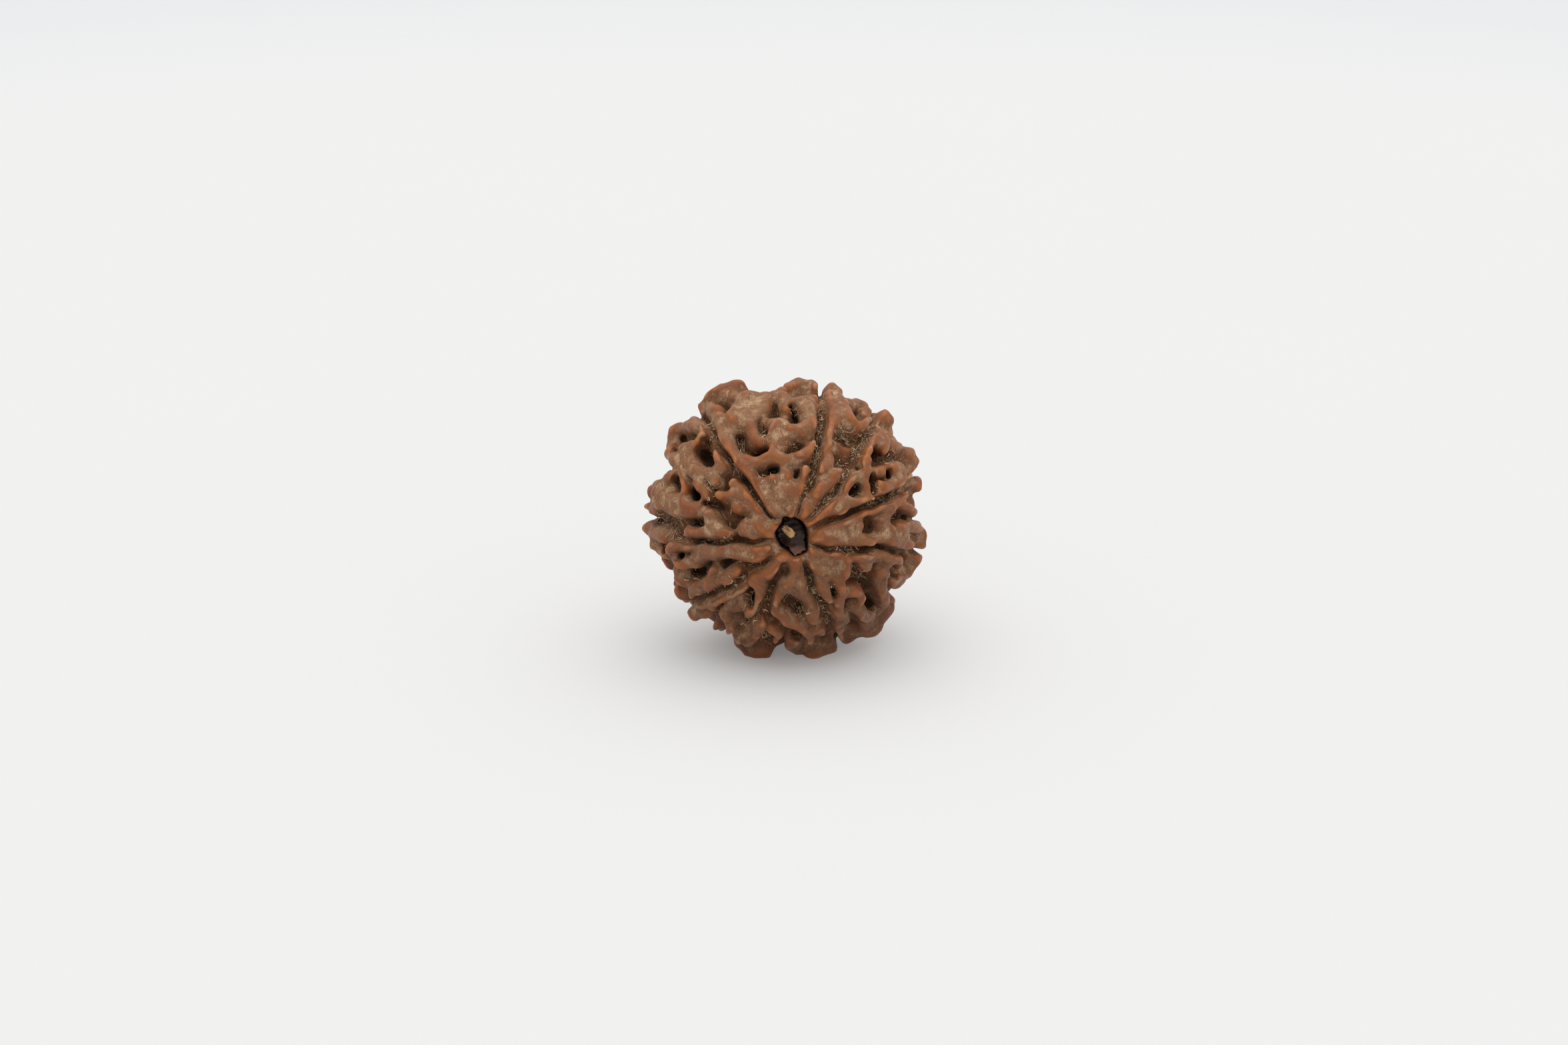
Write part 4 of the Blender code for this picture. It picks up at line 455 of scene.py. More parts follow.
# Long single strands: width, then the line they follow.
STRANDS = [
    (0.065, (2.85, 7.3), (2.95, 6.5), (2.8, 5.6)),
    (0.07, (-3.75, 7.05), (-3.7, 6.4), (-3.72, 5.8)),
    (0.06, (-3.55, 6.9), (-3.5, 6.3), (-3.6, 5.75)),
    (0.05, (-10.6, 0.0), (-10.85, -0.35)),
    (0.08, (-9.3, -0.1), (-9.1, -0.35), (-8.95, -0.75)),
    (0.05, (-6.7, 3.3), (-6.45, 2.9), (-6.2, 2.6)),
    (0.05, (5.0, 3.5), (5.4, 3.8), (5.9, 4.1)),
    (0.05, (4.8, 7.2), (5.3, 6.95), (5.7, 6.8)),
    (0.05, (5.2, 7.7), (5.8, 7.6), (6.3, 7.9)),
    (0.045, (8.1, 3.1), (8.05, 2.85), (8.3, 2.7)),
    (0.05, (4.7, 4.75), (5.1, 4.65), (5.5, 4.7)),
]


def direction(side, up):
    """Back, right and up of an eye that looks at the seed from these two angles, in degrees."""
    a, e = math.radians(side), math.radians(up)
    back = np.array([math.sin(a) * math.cos(e), -math.cos(a) * math.cos(e), math.sin(e)])
    right = np.array([math.cos(a), math.sin(a), 0.0])
    return back, right, np.cross(back, right)


AXIS = direction(0.0, BORE_TILT)[0]
SIDE = np.array([1.0, 0.0, 0.0])
OVER = np.cross(AXIS, SIDE)
BACK, RIGHT, UP = direction(VIEW_SIDE, VIEW_UP)
EYE = VIEW_FAR * BACK
RAISE = np.array([0.0, 0.0, FLOOR_BELOW])


def ramp(value, start, run):
    """Zero up to the start, then up to one over the run; with a run below zero it rises downwards."""
    return np.clip((value - start) / run, 0.0, 1.0)


def unit(way):
    return way / np.linalg.norm(way)


def full_turn(count):
    """Angles of places spaced evenly round a circle."""
    return 2 * math.pi * np.arange(count) / count


def form(p, q, level=0.0):
    """Product of two places; of a place with itself it is one on the crest surface at that level."""
    along = (p @ AXIS) * (q @ AXIS)
    return (p @ q - along) / (HALF_ACROSS + level) ** 2 + along / (HALF_ALONG + level) ** 2


def sight(u, v):
    """From the photo's eye to the plane through the seed's middle, where it is seen at (u, v)."""
    return u * RIGHT + v * UP - EYE


def lay(u, v, level=0.0):
    """Place on the crest surface under what is seen at (u, v), and how far it tops that level."""
    ray = sight(u, v)
    a, b, c = form(ray, ray, level), form(EYE, ray, level), form(EYE, EYE, level) - 1.0
    t = (-b - math.sqrt(max(b * b - a * c, 0.0))) / a
    p = EYE + t * ray
    beyond = math.sqrt(form(p, p, level)) - 1.0
    p += ray / VIEW_FAR * min(OUTLINE_BACK, OUTLINE_EASE * max(beyond, 0.0))
    g = math.sqrt(form(p, p))
    return p / g, max((g - 1.0) * np.linalg.norm(p / g) - level, 0.0)


def polar(theta, phi):
    """Place on the crest surface by the angle from the bore and the angle round it, degrees."""
    t, f = math.radians(theta), math.radians(phi)
    return on_crest(math.cos(t) * AXIS + math.sin(t) * (math.cos(f) * SIDE + math.sin(f) * OVER))


def on_crest(p):
    """Place of the crest surface in the same direction."""
    return p / math.sqrt(form(p, p))


def angles(p):
    """Angle of a place from the bore and the angle round it, degrees."""
    f = math.degrees(math.atan2(p @ OVER, p @ SIDE))
    return math.degrees(math.acos(p @ AXIS / np.linalg.norm(p))), f


def ripple(x, y, z, length, seed):
    """Gentle seeded unevenness between about -1 and 1."""
    rng = np.random.default_rng(seed)
    out, count = 0.0, 7
    for _ in range(count):
        d = rng.normal(size=3)
        d *= 2.0 * math.pi / (length * rng.uniform(0.7, 1.4)) / np.linalg.norm(d)
        out = out + np.sin(x * d[0] + y * d[1] + z * d[2] + rng.uniform(0, 6.28))
    return out / math.sqrt(count)


def far_along(grids, way):
    """How far the points of three coordinate grids lie along a direction."""
    return sum(grid * part for grid, part in zip(grids, way))


def to_segment(p, a, b):
    """Squared distance from coordinate grids to a segment, and how far along it they lie, up to one."""
    ab = b - a
    t = np.clip(sum((p[k] - a[k]) * ab[k] for k in range(3)) / max(ab @ ab, 1e-9), 0.0, 1.0)
    return sum((p[k] - a[k] - t * ab[k]) ** 2 for k in range(3)), t


def rounded(out, up, corner):
    """Signed distance to a round-cornered edge, from the distances to its two sides."""
    return np.hypot(np.maximum(out, 0), np.maximum(up, 0)) + np.minimum(np.maximum(out, up), 0) - corner


class Field:
    """Grid of signed values f, negative inside the stone.

    With every grid point go its place q on the crest surface and its height h above it."""

    def __init__(self, cell):
        self.cell = cell
        self.lo = np.array([-GRID_ACROSS, -GRID_ALONG, -FLOOR_BELOW - 1.5 * cell])
        top = (GRID_ACROSS, GRID_ALONG, GRID_ACROSS)
        self.n = [int((hi - lo) / cell) + 2 for lo, hi in zip(self.lo, top)]
        self.x, self.y, self.z = [(lo + cell * np.arange(n)).astype(np.float32)
                                  for lo, n in zip(self.lo, self.n)]
        gx, gy, gz = np.meshgrid(self.x, self.y, self.z, indexing="ij")
        wx, wy, wz = [g + sum(much * ripple(gx, gy, gz, length, SEED + 5 * j + k)
                              for j, (much, length) in enumerate(WARPS))
                      for k, g in enumerate((gx, gy, gz))]
        along = far_along((wx, wy, wz), AXIS)
        size = wx * wx + wy * wy + wz * wz
        g = np.sqrt((size - along ** 2) / HALF_ACROSS ** 2 + along ** 2 / HALF_ALONG ** 2) + 1e-6
        self.q = np.stack([wx / g, wy / g, wz / g]).astype(np.float32)
        self.h = (np.sqrt(size) * (1.0 - 1.0 / g)).astype(np.float32)
        for j, (much, length) in enumerate(SWELLS):
            self.h += (much * ripple(gx, gy, gz, length, SEED + 4 + 5 * j)).astype(np.float32)
        apart = np.degrees(np.arccos(np.clip(along / (np.sqrt(size) + 1e-6), -1.0, 1.0)))
        near = ramp(apart, MOUTH_REACH[1], MOUTH_REACH[0] - MOUTH_REACH[1])
        near = near * near * (3.0 - 2.0 * near)
        self.f = (self.h - BASE - (MOUTH_BASE - BASE) * near).astype(np.float32)

    def box_round(self, places, reach):
        """Slices of the grid round some places."""
        lo = np.floor((places.min(0) - reach - self.lo) / self.cell).astype(int)
        hi = np.ceil((places.max(0) + reach - self.lo) / self.cell).astype(int) + 1
        return tuple(slice(max(a, 0), max(min(b, n), 0)) for a, b, n in zip(lo, hi, self.n))

    def window(self, points, reach):
        """Slices round a line of the crest surface, from well under it to well over it."""
        return self.box_round(np.concatenate([np.array(points) * 0.70, np.array(points) * 1.12]), reach)

    def spans(self, box, points):
        """Distance to a line of places, and how far along it, for every grid point of the box."""
        q = self.q[(slice(None),) + box]
        best = where = None
        for i, (a, b) in enumerate(zip(points, points[1:])):
            d, t = to_segment(q, a, b)
            if best is None:
                best, where = d, i + t
            else:
                nearer = d < best
                best, where = np.where(nearer, d, best), np.where(nearer, i + t, where)
        return np.sqrt(best), where

    def merge(self, box, shape, sign, blend):
        """Joins a shape in (sign 1) or cuts it out (sign -1), with a soft fillet."""
        f, shape = self.f[box], sign * shape
        mix = np.clip(0.5 + 0.5 * sign * (f - shape) / blend, 0.0, 1.0)
        self.f[box] = f * (1 - mix) + shape * mix - sign * blend * mix * (1 - mix)

    def raise_ridge(self, points, width, tops, blend=RIDGE_BLEND):
        """Adds a round-topped ridge along a line of the crest surface."""
        box = self.window(points, width + 1.2)
        dist, where = self.spans(box, points)
        top = np.interp(where, np.arange(len(tops)), tops)
        h = self.h[box]
        corner = min(width, 0.7)
        out = dist - (width - corner) - SLOPE * np.clip(top - h, 0.0, 3.0)
        self.merge(box, rounded(out, h - (top - corner), corner), 1, blend)

    def sink(self, points, width, depth, flare=0.16):
        """Cuts a round-bottomed groove along a line of the crest surface."""
        box = self.window(points, np.max(width) + 1.6)
        dist, where = self.spans(box, points)
        if np.ndim(width):
            width = np.interp(where, np.arange(len(width)), width)
            depth = np.interp(where, np.arange(len(depth)), depth)
        h = self.h[box]
        corner = width * 0.8
        out = dist - (width - corner) - flare * np.clip(h + depth, 0.0, 1.6)
        self.merge(box, rounded(out, -depth + corner - h, corner), -1, GROOVE_BLEND)

    def bore(self, starts, ways, width, depth):
        """Hollows out round-ended holes from places on the surface, each along its own way in."""
        ends = [a + w * depth for a, w in zip(starts, ways)]
        outer = [a - w * HOLE_OUT for a, w in zip(starts, ways)]
        box = self.box_round(np.array(ends + outer), width + 0.6)
        p = np.meshgrid(self.x[box[0]], self.y[box[1]], self.z[box[2]], indexing="ij")
        best = np.inf
        for a, b in zip(outer, ends):
            d, t = to_segment(p, a, b)
            best = np.minimum(best, np.sqrt(d) - width * (1.12 - 0.3 * t))
        self.merge(box, best, -1, PIT_BLEND)


def seen_hole(field, line, width, depth, level):
    """Hole drawn on the face: its way in lies between the line of sight and the plumb line."""
    marks = []
    for (au, av), (bu, bv) in zip(line, line[1:]):
        n = max(1, int(math.hypot(bu - au, bv - av) / HOLE_PITCH))
        marks += [(au + (bu - au) * k / n, av + (bv - av) * k / n) for k in range(n)]
    marks.append(line[-1])
    starts, ways = [], []
    for u, v in marks:
        p = lay(u, v, level)[0]
        g = p * (1.0 + level / np.linalg.norm(p))
        view = sight(u, v)
        lean = HOLE_LEAN[0] + HOLE_LEAN[1] * (u * u + v * v) / HALF_ACROSS ** 2
        way = (1 - lean) * -p / np.linalg.norm(p) + lean * view / np.linalg.norm(view)
        starts.append(g)
        ways.append(unit(way))
    field.bore(starts, ways, width, depth + level)


def curved(line):
    """The same line with a spot added in each stretch, so that it bends smoothly."""
    spots = [np.array(spot) for spot in line]
    ends = [2 * spots[0] - spots[1], *spots, 2 * spots[-1] - spots[-2]]
    out = []
    for a, b, c, d in zip(ends, ends[1:], ends[2:], ends[3:]):
        out += [b, (9 * (b + c) - a - d) / 16]
    return out + [spots[-1]]


def laid(line, height, level):
    """Places of a drawn line on the crest surface, and the height to reach at each."""
    places = [lay(u, v, level) for u, v in curved(line)]
    return [p for p, _ in places], [height + extra for _, extra in places]


def groove_lines():
    """Each groove from the mouth over the edge and on to the far end of the bore."""
    rng = np.random.default_rng(SEED + 20)
    lines = []
    for width, depth, *line in GROOVES:
        points = [lay(u, v, HOLLOW_LEVEL)[0] for u, v in line]
        out = np.linspace(0.0, 1.0, len(points))
        widths = list(width * np.interp(out, *GROOVE_WIDTHS))
        depths = list(depth * np.interp(out, *GROOVE_DEPTHS))
        theta, phi = angles(points[-1])
        for step in range(1, 8):
            t = theta + (FAR_END - theta) * step / 7.0
            points.append(polar(t, phi + rng.uniform(-2.5, 2.5)))
            widths.append(width * (0.7 if step == 1 else 0.9 if step < 7 else 0.4))
            depths.append(depth * (0.45 if step in (1, 7) else 0.9))
        lines.append((widths, depths, points))
    return lines


def densified(points, pitch):
    """The same line with places added at about that pitch."""
    out = []
    for a, b in zip(points, points[1:]):
        n = max(1, int(round(np.linalg.norm(b - a) / pitch)))
        out += [a + (b - a) * k / n for k in range(n)]
    return out + [points[-1]]


def nearest(p, places):
    """Distance to the nearest of some places."""
    return np.linalg.norm(np.array(places) - p, axis=1).min()


def far_net(field, lines, drawn):
    """Raised net of the far side: broken lips along the grooves and crooked links between knots."""
    rng = np.random.default_rng(SEED + 40)
    grooves = [p for _, _, points in lines for p in densified(points, FAR_PITCH)]
    held = [p for p in drawn if p @ BACK < 4.0]
    links = []
    for _, _, points in lines:
        run = densified(points[-8:], LIP_PITCH)
        for sign in (-1.0, 1.0):
            lip = []
            for a, b in zip(run, run[1:]):
                out = np.cross(a, b - a)
                beside = a + sign * rng.uniform(*LIP_BESIDE) * out / np.linalg.norm(out)
                if beside @ BACK < FAR_FROM and nearest(beside, grooves) > LIP_CLEAR:
                    lip.append(on_crest(beside))
            held += lip
            links += [(a, b) for a, b in zip(lip, lip[1:])
                      if np.linalg.norm(b - a) < LIP_STEP and rng.uniform() < LIP_SHARE]
    knots = []
    for _ in range(FAR_TRIES):
        p = polar(math.degrees(math.acos(rng.uniform(-1.0, 0.6))), rng.uniform(0.0, 360.0))
        off_grooves = p @ BACK < FAR_FROM and nearest(p, grooves) > FAR_CLEAR
        if off_grooves and nearest(p, held + knots) > FAR_CELL:
            knots.append(p)
    every = np.array(held + knots)
    for p in knots:
        far = np.linalg.norm(every - p, axis=1)
        for i in np.argsort(far)[1:5]:
            clear = far[i] < LINK_REACH and nearest((p + every[i]) / 2, grooves) > LINK_CLEAR
            if clear and rng.uniform() < LINK_SHARE:
                links.append((p, every[i]))
        if rng.uniform() < STUB_SHARE:
            links.append((p, on_crest(p + rng.normal(scale=0.25, size=3))))
    for p, q in links:
        width, top = rng.uniform(*FAR_WIDTHS), rng.uniform(*FAR_TOPS)
        behind = -(p + q) @ BACK / 2.0
        top -= RIM_DROP * np.clip(1.0 - behind / RIM_FADE, 0.0, 1.0)
        m = on_crest((p + q) / 2 + rng.normal(scale=0.2, size=3))
        field.raise_ridge([p, m, q], width, [top, top - 0.1, top])


def far_pits(field, lines):
    """A few deep crooked pits of the far side, off the groove lines."""
    rng = np.random.default_rng(SEED + 60)
    grooves = [p for _, _, points in lines for p in densified(points, FAR_PITCH)]
    made = 0
    while made < FAR_PITS:
        p = polar(rng.uniform(84, 160), rng.uniform(0, 360))
        if p @ BACK > FAR_FROM or nearest(p, grooves) < FAR_PIT_CLEAR:
            continue
        q = on_crest(p + rng.normal(scale=0.6, size=3))
        field.sink([p, q], rng.uniform(*FAR_PIT_WIDTHS), rng.uniform(*FAR_PIT_DEPTHS))
        made += 1


def outline_distance(x, y, corners):
    """Signed distance to a closed outline, negative inside."""
    best = np.inf
    inside = np.zeros(x.shape, bool)
    for (ax, ay), (bx, by) in zip(corners, corners[1:] + corners[:1]):
        ex, ey = bx - ax, by - ay
        t = np.clip(((x - ax) * ex + (y - ay) * ey) / (ex * ex + ey * ey), 0.0, 1.0)
        d = np.hypot(x - ax - t * ex, y - ay - t * ey)
        best = np.minimum(best, d)
        cross = (ay > y) != (by > y)
        if ay != by:
            inside ^= cross & (x < (bx - ax) * (y - ay) / (by - ay) + ax)
    return np.where(inside, -best, best)


def mouth_corners():
    """Mouth outline in the plane across the bore."""
    places = [lay(u, v)[0] for u, v in MOUTH]
    return [(p @ SIDE, p @ OVER) for p in places]


def middle_of(corners):
    """Mean of an outline's corners."""
    return [sum(corner[k] for corner in corners) / len(corners) for k in (0, 1)]


def cut_canal(field):
    """Cuts the mouth and the canal behind it, which slides over to the bore's axis and narrows."""
    grids = np.meshgrid(field.x, field.y, field.z, indexing="ij")
    along, side, over = [far_along(grids, way) for way in (AXIS, SIDE, OVER)]
    corners = mouth_corners()
    mx, my = middle_of(corners)
    slide = ramp(along, *CANAL_SLIDE)
    radius = BACK_R + (CANAL_R - BACK_R) * ramp(along, *CANAL_WIDEN)
    tube = np.hypot(side - mx * slide, over - my * slide) - radius
    near = along > MOUTH_FROM
    mouth = np.full(tube.shape, 9.0, np.float32)
    deep = np.clip(MOUTH_EDGE - along[near], 0.0, 4.0)
    mouth[near] = outline_distance(side[near], over[near], corners) + MOUTH_TAPER * deep
    mouth = np.maximum(mouth, MOUTH_FLOOR - along)
    field.f = np.maximum(field.f, -np.minimum(tube, mouth))


def even_out(f):
    """Takes off fins too thin for the grid and eases every edge a little."""
    for axis in range(3):
        f = np.moveaxis(f, axis, 0)
        f[1:-1] = 0.5 * f[1:-1] + 0.25 * (f[:-2] + f[2:])
        f = np.moveaxis(f, 0, axis)
    return f


def underside(spots):
    """Places on the crest surface under the seed, from (x, y) spots."""
    return [on_crest(np.array([x, y, -HALF_ACROSS])) for x, y in spots]


def stone_field(cell):
    """The whole stone: hollows, ridges, far net, feet, pits, grooves and the canal, in that order."""
    field = Field(cell)
    lines = groove_lines()
    drawn = []
    for width, depth, *line in HOLLOWS:
        seen_hole(field, line, width, depth, HOLLOW_LEVEL)
    for width, top, *line in RIDGES:
        points, tops = laid(line, top, top - 0.1)
        drawn += points[::2]
        field.raise_ridge(points, width, tops)
    far_net(field, lines, drawn)
    for width, top, *spots in FEET:
        field.raise_ridge(underside(spots), width, [top] * len(spots), FOOT_BLEND)
    width, depth, *spots = NOTCH
    field.sink(underside(spots), width, depth)
    for width, depth, *line in PITS:
        seen_hole(field, line, width, depth, PIT_LEVEL)
    far_pits(field, lines)
    for widths, depths, points in lines:
        field.sink(points, widths, depths, flare=0.10)
    cut_canal(field)
    field.f = even_out(field.f)
    field.f = np.maximum(field.f, (-FLOOR_BELOW - field.z)[None, None, :])
    return field


TETS = [(0, 1, 3, 7), (0, 3, 2, 7), (0, 2, 6, 7), (0, 6, 4, 7), (0, 4, 5, 7), (0, 5, 1, 7)]


def surface(field):
    """Closed triangle surface where the field passes through zero."""
    f = field.f
    nx, ny, nz = f.shape
    step = [0, 1, nx, nx + 1, nx * ny, nx * ny + 1, nx * ny + nx, nx * ny + nx + 1]
    flat = f.transpose(2, 1, 0).ravel()
    inside = flat < 0
    grid = inside.reshape(nz, ny, nx)
    some = np.zeros((nz - 1, ny - 1, nx - 1), np.int8)
    for dz, dy, dx in np.ndindex(2, 2, 2):
        some += grid[dz:nz - 1 + dz, dy:ny - 1 + dy, dx:nx - 1 + dx]
    kz, ky, kx = np.nonzero((some > 0) & (some < 8))
    base = kx + nx * ky + nx * ny * kz
    tris = []
    for tet in TETS:
        ids = np.stack([base + step[c] for c in tet], axis=1)
        code = sum(inside[ids[:, k]].astype(int) << k for k in range(4))
        for bits in range(1, 15):
            rows = ids[code == bits]
            if not len(rows):
                continue
            ins = [k for k in range(4) if bits >> k & 1]
            outs = [k for k in range(4) if not bits >> k & 1]
            if len(ins) == 1:
                corners = [[(ins[0], o) for o in outs]]
            elif len(ins) == 3:
                corners = [[(i, outs[0]) for i in ins]]
            else:
                a, b = ins
                c, d = outs
                corners = [[(a, c), (a, d), (b, d)], [(a, c), (b, d), (b, c)]]
            for tri in corners:
                pts = [(rows[:, i], rows[:, o]) for i, o in tri]
                tris.append(np.stack([np.stack(p, axis=1) for p in pts], axis=1))
    tris = np.concatenate(tris)
    edges = tris.reshape(-1, 2)
    key = edges[:, 0].astype(np.int64) * len(flat) + edges[:, 1]
    unique, index = np.unique(key, return_inverse=True)
    a, b = unique // len(flat), unique % len(flat)
    t = np.clip(flat[a] / (flat[a] - flat[b]), EDGE_CLEAR, 1.0 - EDGE_CLEAR)[:, None]

    def place(i):
        return np.stack([field.x[i % nx], field.y[i // nx % ny], field.z[i // (nx * ny)]], axis=1)

    verts = place(a) * (1 - t) + place(b) * t
    faces = index.reshape(-1, 3)
    # Turn every triangle so that it faces from inside to outside.
    p = verts[faces]
    normal = np.cross(p[:, 1] - p[:, 0], p[:, 2] - p[:, 0])
    way = place(edges[::3, 1]) - place(edges[::3, 0])
    flip = (normal * way).sum(1) < 0
    faces[flip] = faces[flip][:, ::-1]
    return verts, faces


def biggest_piece(verts, faces):
    """Keeps the largest connected piece, so no crumbs are left."""
    label = np.arange(len(verts))
    while True:
        low = label[faces].min(1)
        new = label.copy()
        np.minimum.at(new, faces.ravel(), np.repeat(low, 3))
        new = new[new]
        if (new == label).all():
            break
        label = new
    kinds, counts = np.unique(label[faces[:, 0]], return_counts=True)
    faces = faces[label[faces[:, 0]] == kinds[counts.argmax()]]
    used, index = np.unique(faces, return_inverse=True)
    return verts[used], index.reshape(-1, 3)


def soften(verts, faces, rounds):
    """Evens out the steps of the sampling grid without shrinking the mesh."""
    a = faces[:, [0, 1, 2]].ravel()
    b = faces[:, [1, 2, 0]].ravel()
    near = np.bincount(a, minlength=len(verts))[:, None]
    for _ in range(rounds):
        for weight in EVENING:
            mean = np.stack([np.bincount(a, verts[b, k], len(verts)) for k in range(3)], axis=1) / near
            verts = verts + weight * (mean - verts)
    return verts


def loft(rings):
    """Closed solid through rings of places; the first and last entry are single tips."""
    verts, faces = [rings[0][0]], []
    for ring in rings[1:-1]:
        verts += list(ring)
    verts.append(rings[-1][0])
    n, last = len(rings[1]), len(verts) - 1
    for k in range(n):
        m = (k + 1) % n
        faces.append((0, 1 + k, 1 + m))
        for j in range(len(rings) - 3):
            low, high = 1 + j * n, 1 + (j + 1) * n
            faces += [(low + k, high + k, high + m), (low + k, high + m, low + m)]
        faces.append((last, last - n + m, last - n + k))
    return np.array(verts), np.array(faces)


def blurred(grid, k):
    """Mean over a cube of 2k + 1 grid points a side round each point."""
    for axis in range(3):
        moved = np.moveaxis(grid, axis, 0)
        wide = np.concatenate([np.repeat(moved[:1], k + 1, 0), moved, np.repeat(moved[-1:], k, 0)])
        total = np.cumsum(wide, axis=0)
        grid = np.moveaxis((total[2 * k + 1:] - total[:-2 * k - 1]) / (2 * k + 1), 0, axis)
    return grid


def fullness(field, reach):
    """Share of the space near each grid point that is stone: half on a flat, less on a crest."""
    solid = np.clip(0.5 - field.f / field.cell, 0.0, 1.0)
    k = max(1, int(round(reach / field.cell / 2)))
    return blurred(blurred(solid, k), k)


def sample(field, grid, places):
    """Value of a grid at places between its points."""
    at = (places - field.lo) / field.cell
    low = np.clip(np.floor(at).astype(int), 0, np.array(grid.shape) - 2)
    part = at - low
    out = np.zeros(len(places))
    for corner in np.ndindex(2, 2, 2):
        weight = np.prod(np.where(corner, part, 1.0 - part), axis=1)
        out += weight * grid[tuple((low + corner).T)]
    return out


def in_mouth(places):
    """One inside the outline of the mouth, falling to zero just outside it."""
    clear = outline_distance(places @ SIDE, places @ OVER, mouth_corners())
    return np.where(places @ AXIS > MOUTH_FROM, np.clip(0.5 - clear / MOUTH_SHADE, 0.0, 1.0), 0.0)


def in_bore(places):
    """One inside the canal and its far opening."""
    radius = np.hypot(places @ SIDE, places @ OVER)
    return ramp(radius, BORE_DARK, -BORE_FADE) * (places @ AXIS < MOUTH_FROM)


def new_object(name, verts, faces, mat, shades=()):
    """Smooth mesh from places in millimetres, with values kept on its points."""
    mesh = bpy.data.meshes.new(name)
    mesh.vertices.add(len(verts))
    mesh.vertices.foreach_set("co", raised(verts).astype(np.float32).ravel())
    mesh.loops.add(3 * len(faces))
    mesh.loops.foreach_set("vertex_index", faces.astype(np.int32).ravel())
    mesh.polygons.add(len(faces))
    mesh.polygons.foreach_set("loop_start", np.arange(0, 3 * len(faces), 3, dtype=np.int32))
    mesh.update(calc_edges=True)
    mesh.validate()
    mesh.shade_smooth()
    mesh.materials.append(mat)
    for word, values in dict(shades).items():
        keep_values(mesh, word, values)
    ob = bpy.data.objects.new(name, mesh)
    bpy.context.scene.collection.objects.link(ob)
    return ob


def keep_values(mesh, word, values):
    """Keeps one value on each point of a mesh, for the finish."""
    layer = mesh.attributes.new(word, "FLOAT", "POINT")
    layer.data.foreach_set("value", np.asarray(values, np.float32))


def kept_values(mesh, word):
    """The values kept under that word."""
    values = np.empty(len(mesh.vertices), np.float32)
    mesh.attributes[word].data.foreach_get("value", values)
    return values


def places_of(mesh):
    """Points of a mesh in millimetres from the middle of the seed."""
    co = np.empty(3 * len(mesh.vertices), np.float32)
    mesh.vertices.foreach_get("co", co)
    return co.reshape(-1, 3) / MM - RAISE


def normals_of(mesh):
    """Normals at a mesh's points."""
    out = np.empty(3 * len(mesh.vertices), np.float32)
    mesh.vertex_normals.foreach_get("vector", out)
    return out.reshape(-1, 3)


def raised(verts):
    """From millimetres round the middle of the seed to metres over the floor."""
    return (verts + RAISE) * MM


def thin_out(ob, count):
    """Brings the mesh down to a count of triangles."""
    mod = ob.modifiers.new("thin", "DECIMATE")
    mod.ratio = min(1.0, count / len(ob.data.polygons))
    shape = ob.evaluated_get(bpy.context.evaluated_depsgraph_get())
    mesh = bpy.data.meshes.new_from_object(shape)
    ob.modifiers.clear()
    old, ob.data = ob.data, mesh
    bpy.data.meshes.remove(old)
    mesh.name = ob.name


def dress(ob, node):
    """Makes a piece ride with the seed and stand in for a solid, which is hidden."""
    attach(ob, "root")
    if node:
        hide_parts(node)


def tubes(paths, radii, flat, sides):
    """Closed tapering threads round many paths at once: paths (n, k, 3), radii (n, k)."""
    n, k, _ = paths.shape
    ahead = np.gradient(paths, axis=1)
    ahead /= np.linalg.norm(ahead, axis=2, keepdims=True) + 1e-9
    aside = np.roll(ahead[:, :1], 1, axis=2) * np.array([1.0, -1.0, 1.0]) + 0.3
    one = np.cross(ahead, aside)
    one /= np.linalg.norm(one, axis=2, keepdims=True) + 1e-9
    two = np.cross(ahead, one)
    turn = full_turn(sides)
    across = np.cos(turn)[None, None, :, None] * one[:, :, None]
    across = across + flat * np.sin(turn)[None, None, :, None] * two[:, :, None]
    verts = paths[:, :, None] + radii[:, :, None, None] * across
    low = np.arange(k - 1)[:, None] * sides + np.arange(sides)[None]
    turned = np.arange(k - 1)[:, None] * sides + (np.arange(sides)[None] + 1) % sides
    walls = [np.stack(corners, axis=2)
             for corners in ((low, turned, turned + sides), (low, turned + sides, low + sides))]
    fan = np.array([(0, j + 1, j) for j in range(1, sides - 1)])
    end = fan[:, ::-1] + (k - 1) * sides
    faces = np.concatenate([w.reshape(-1, 3) for w in walls] + [fan, end])
    faces = faces[None] + np.arange(n)[:, None, None] * k * sides
    return verts.reshape(-1, 3), faces.reshape(-1, 3)


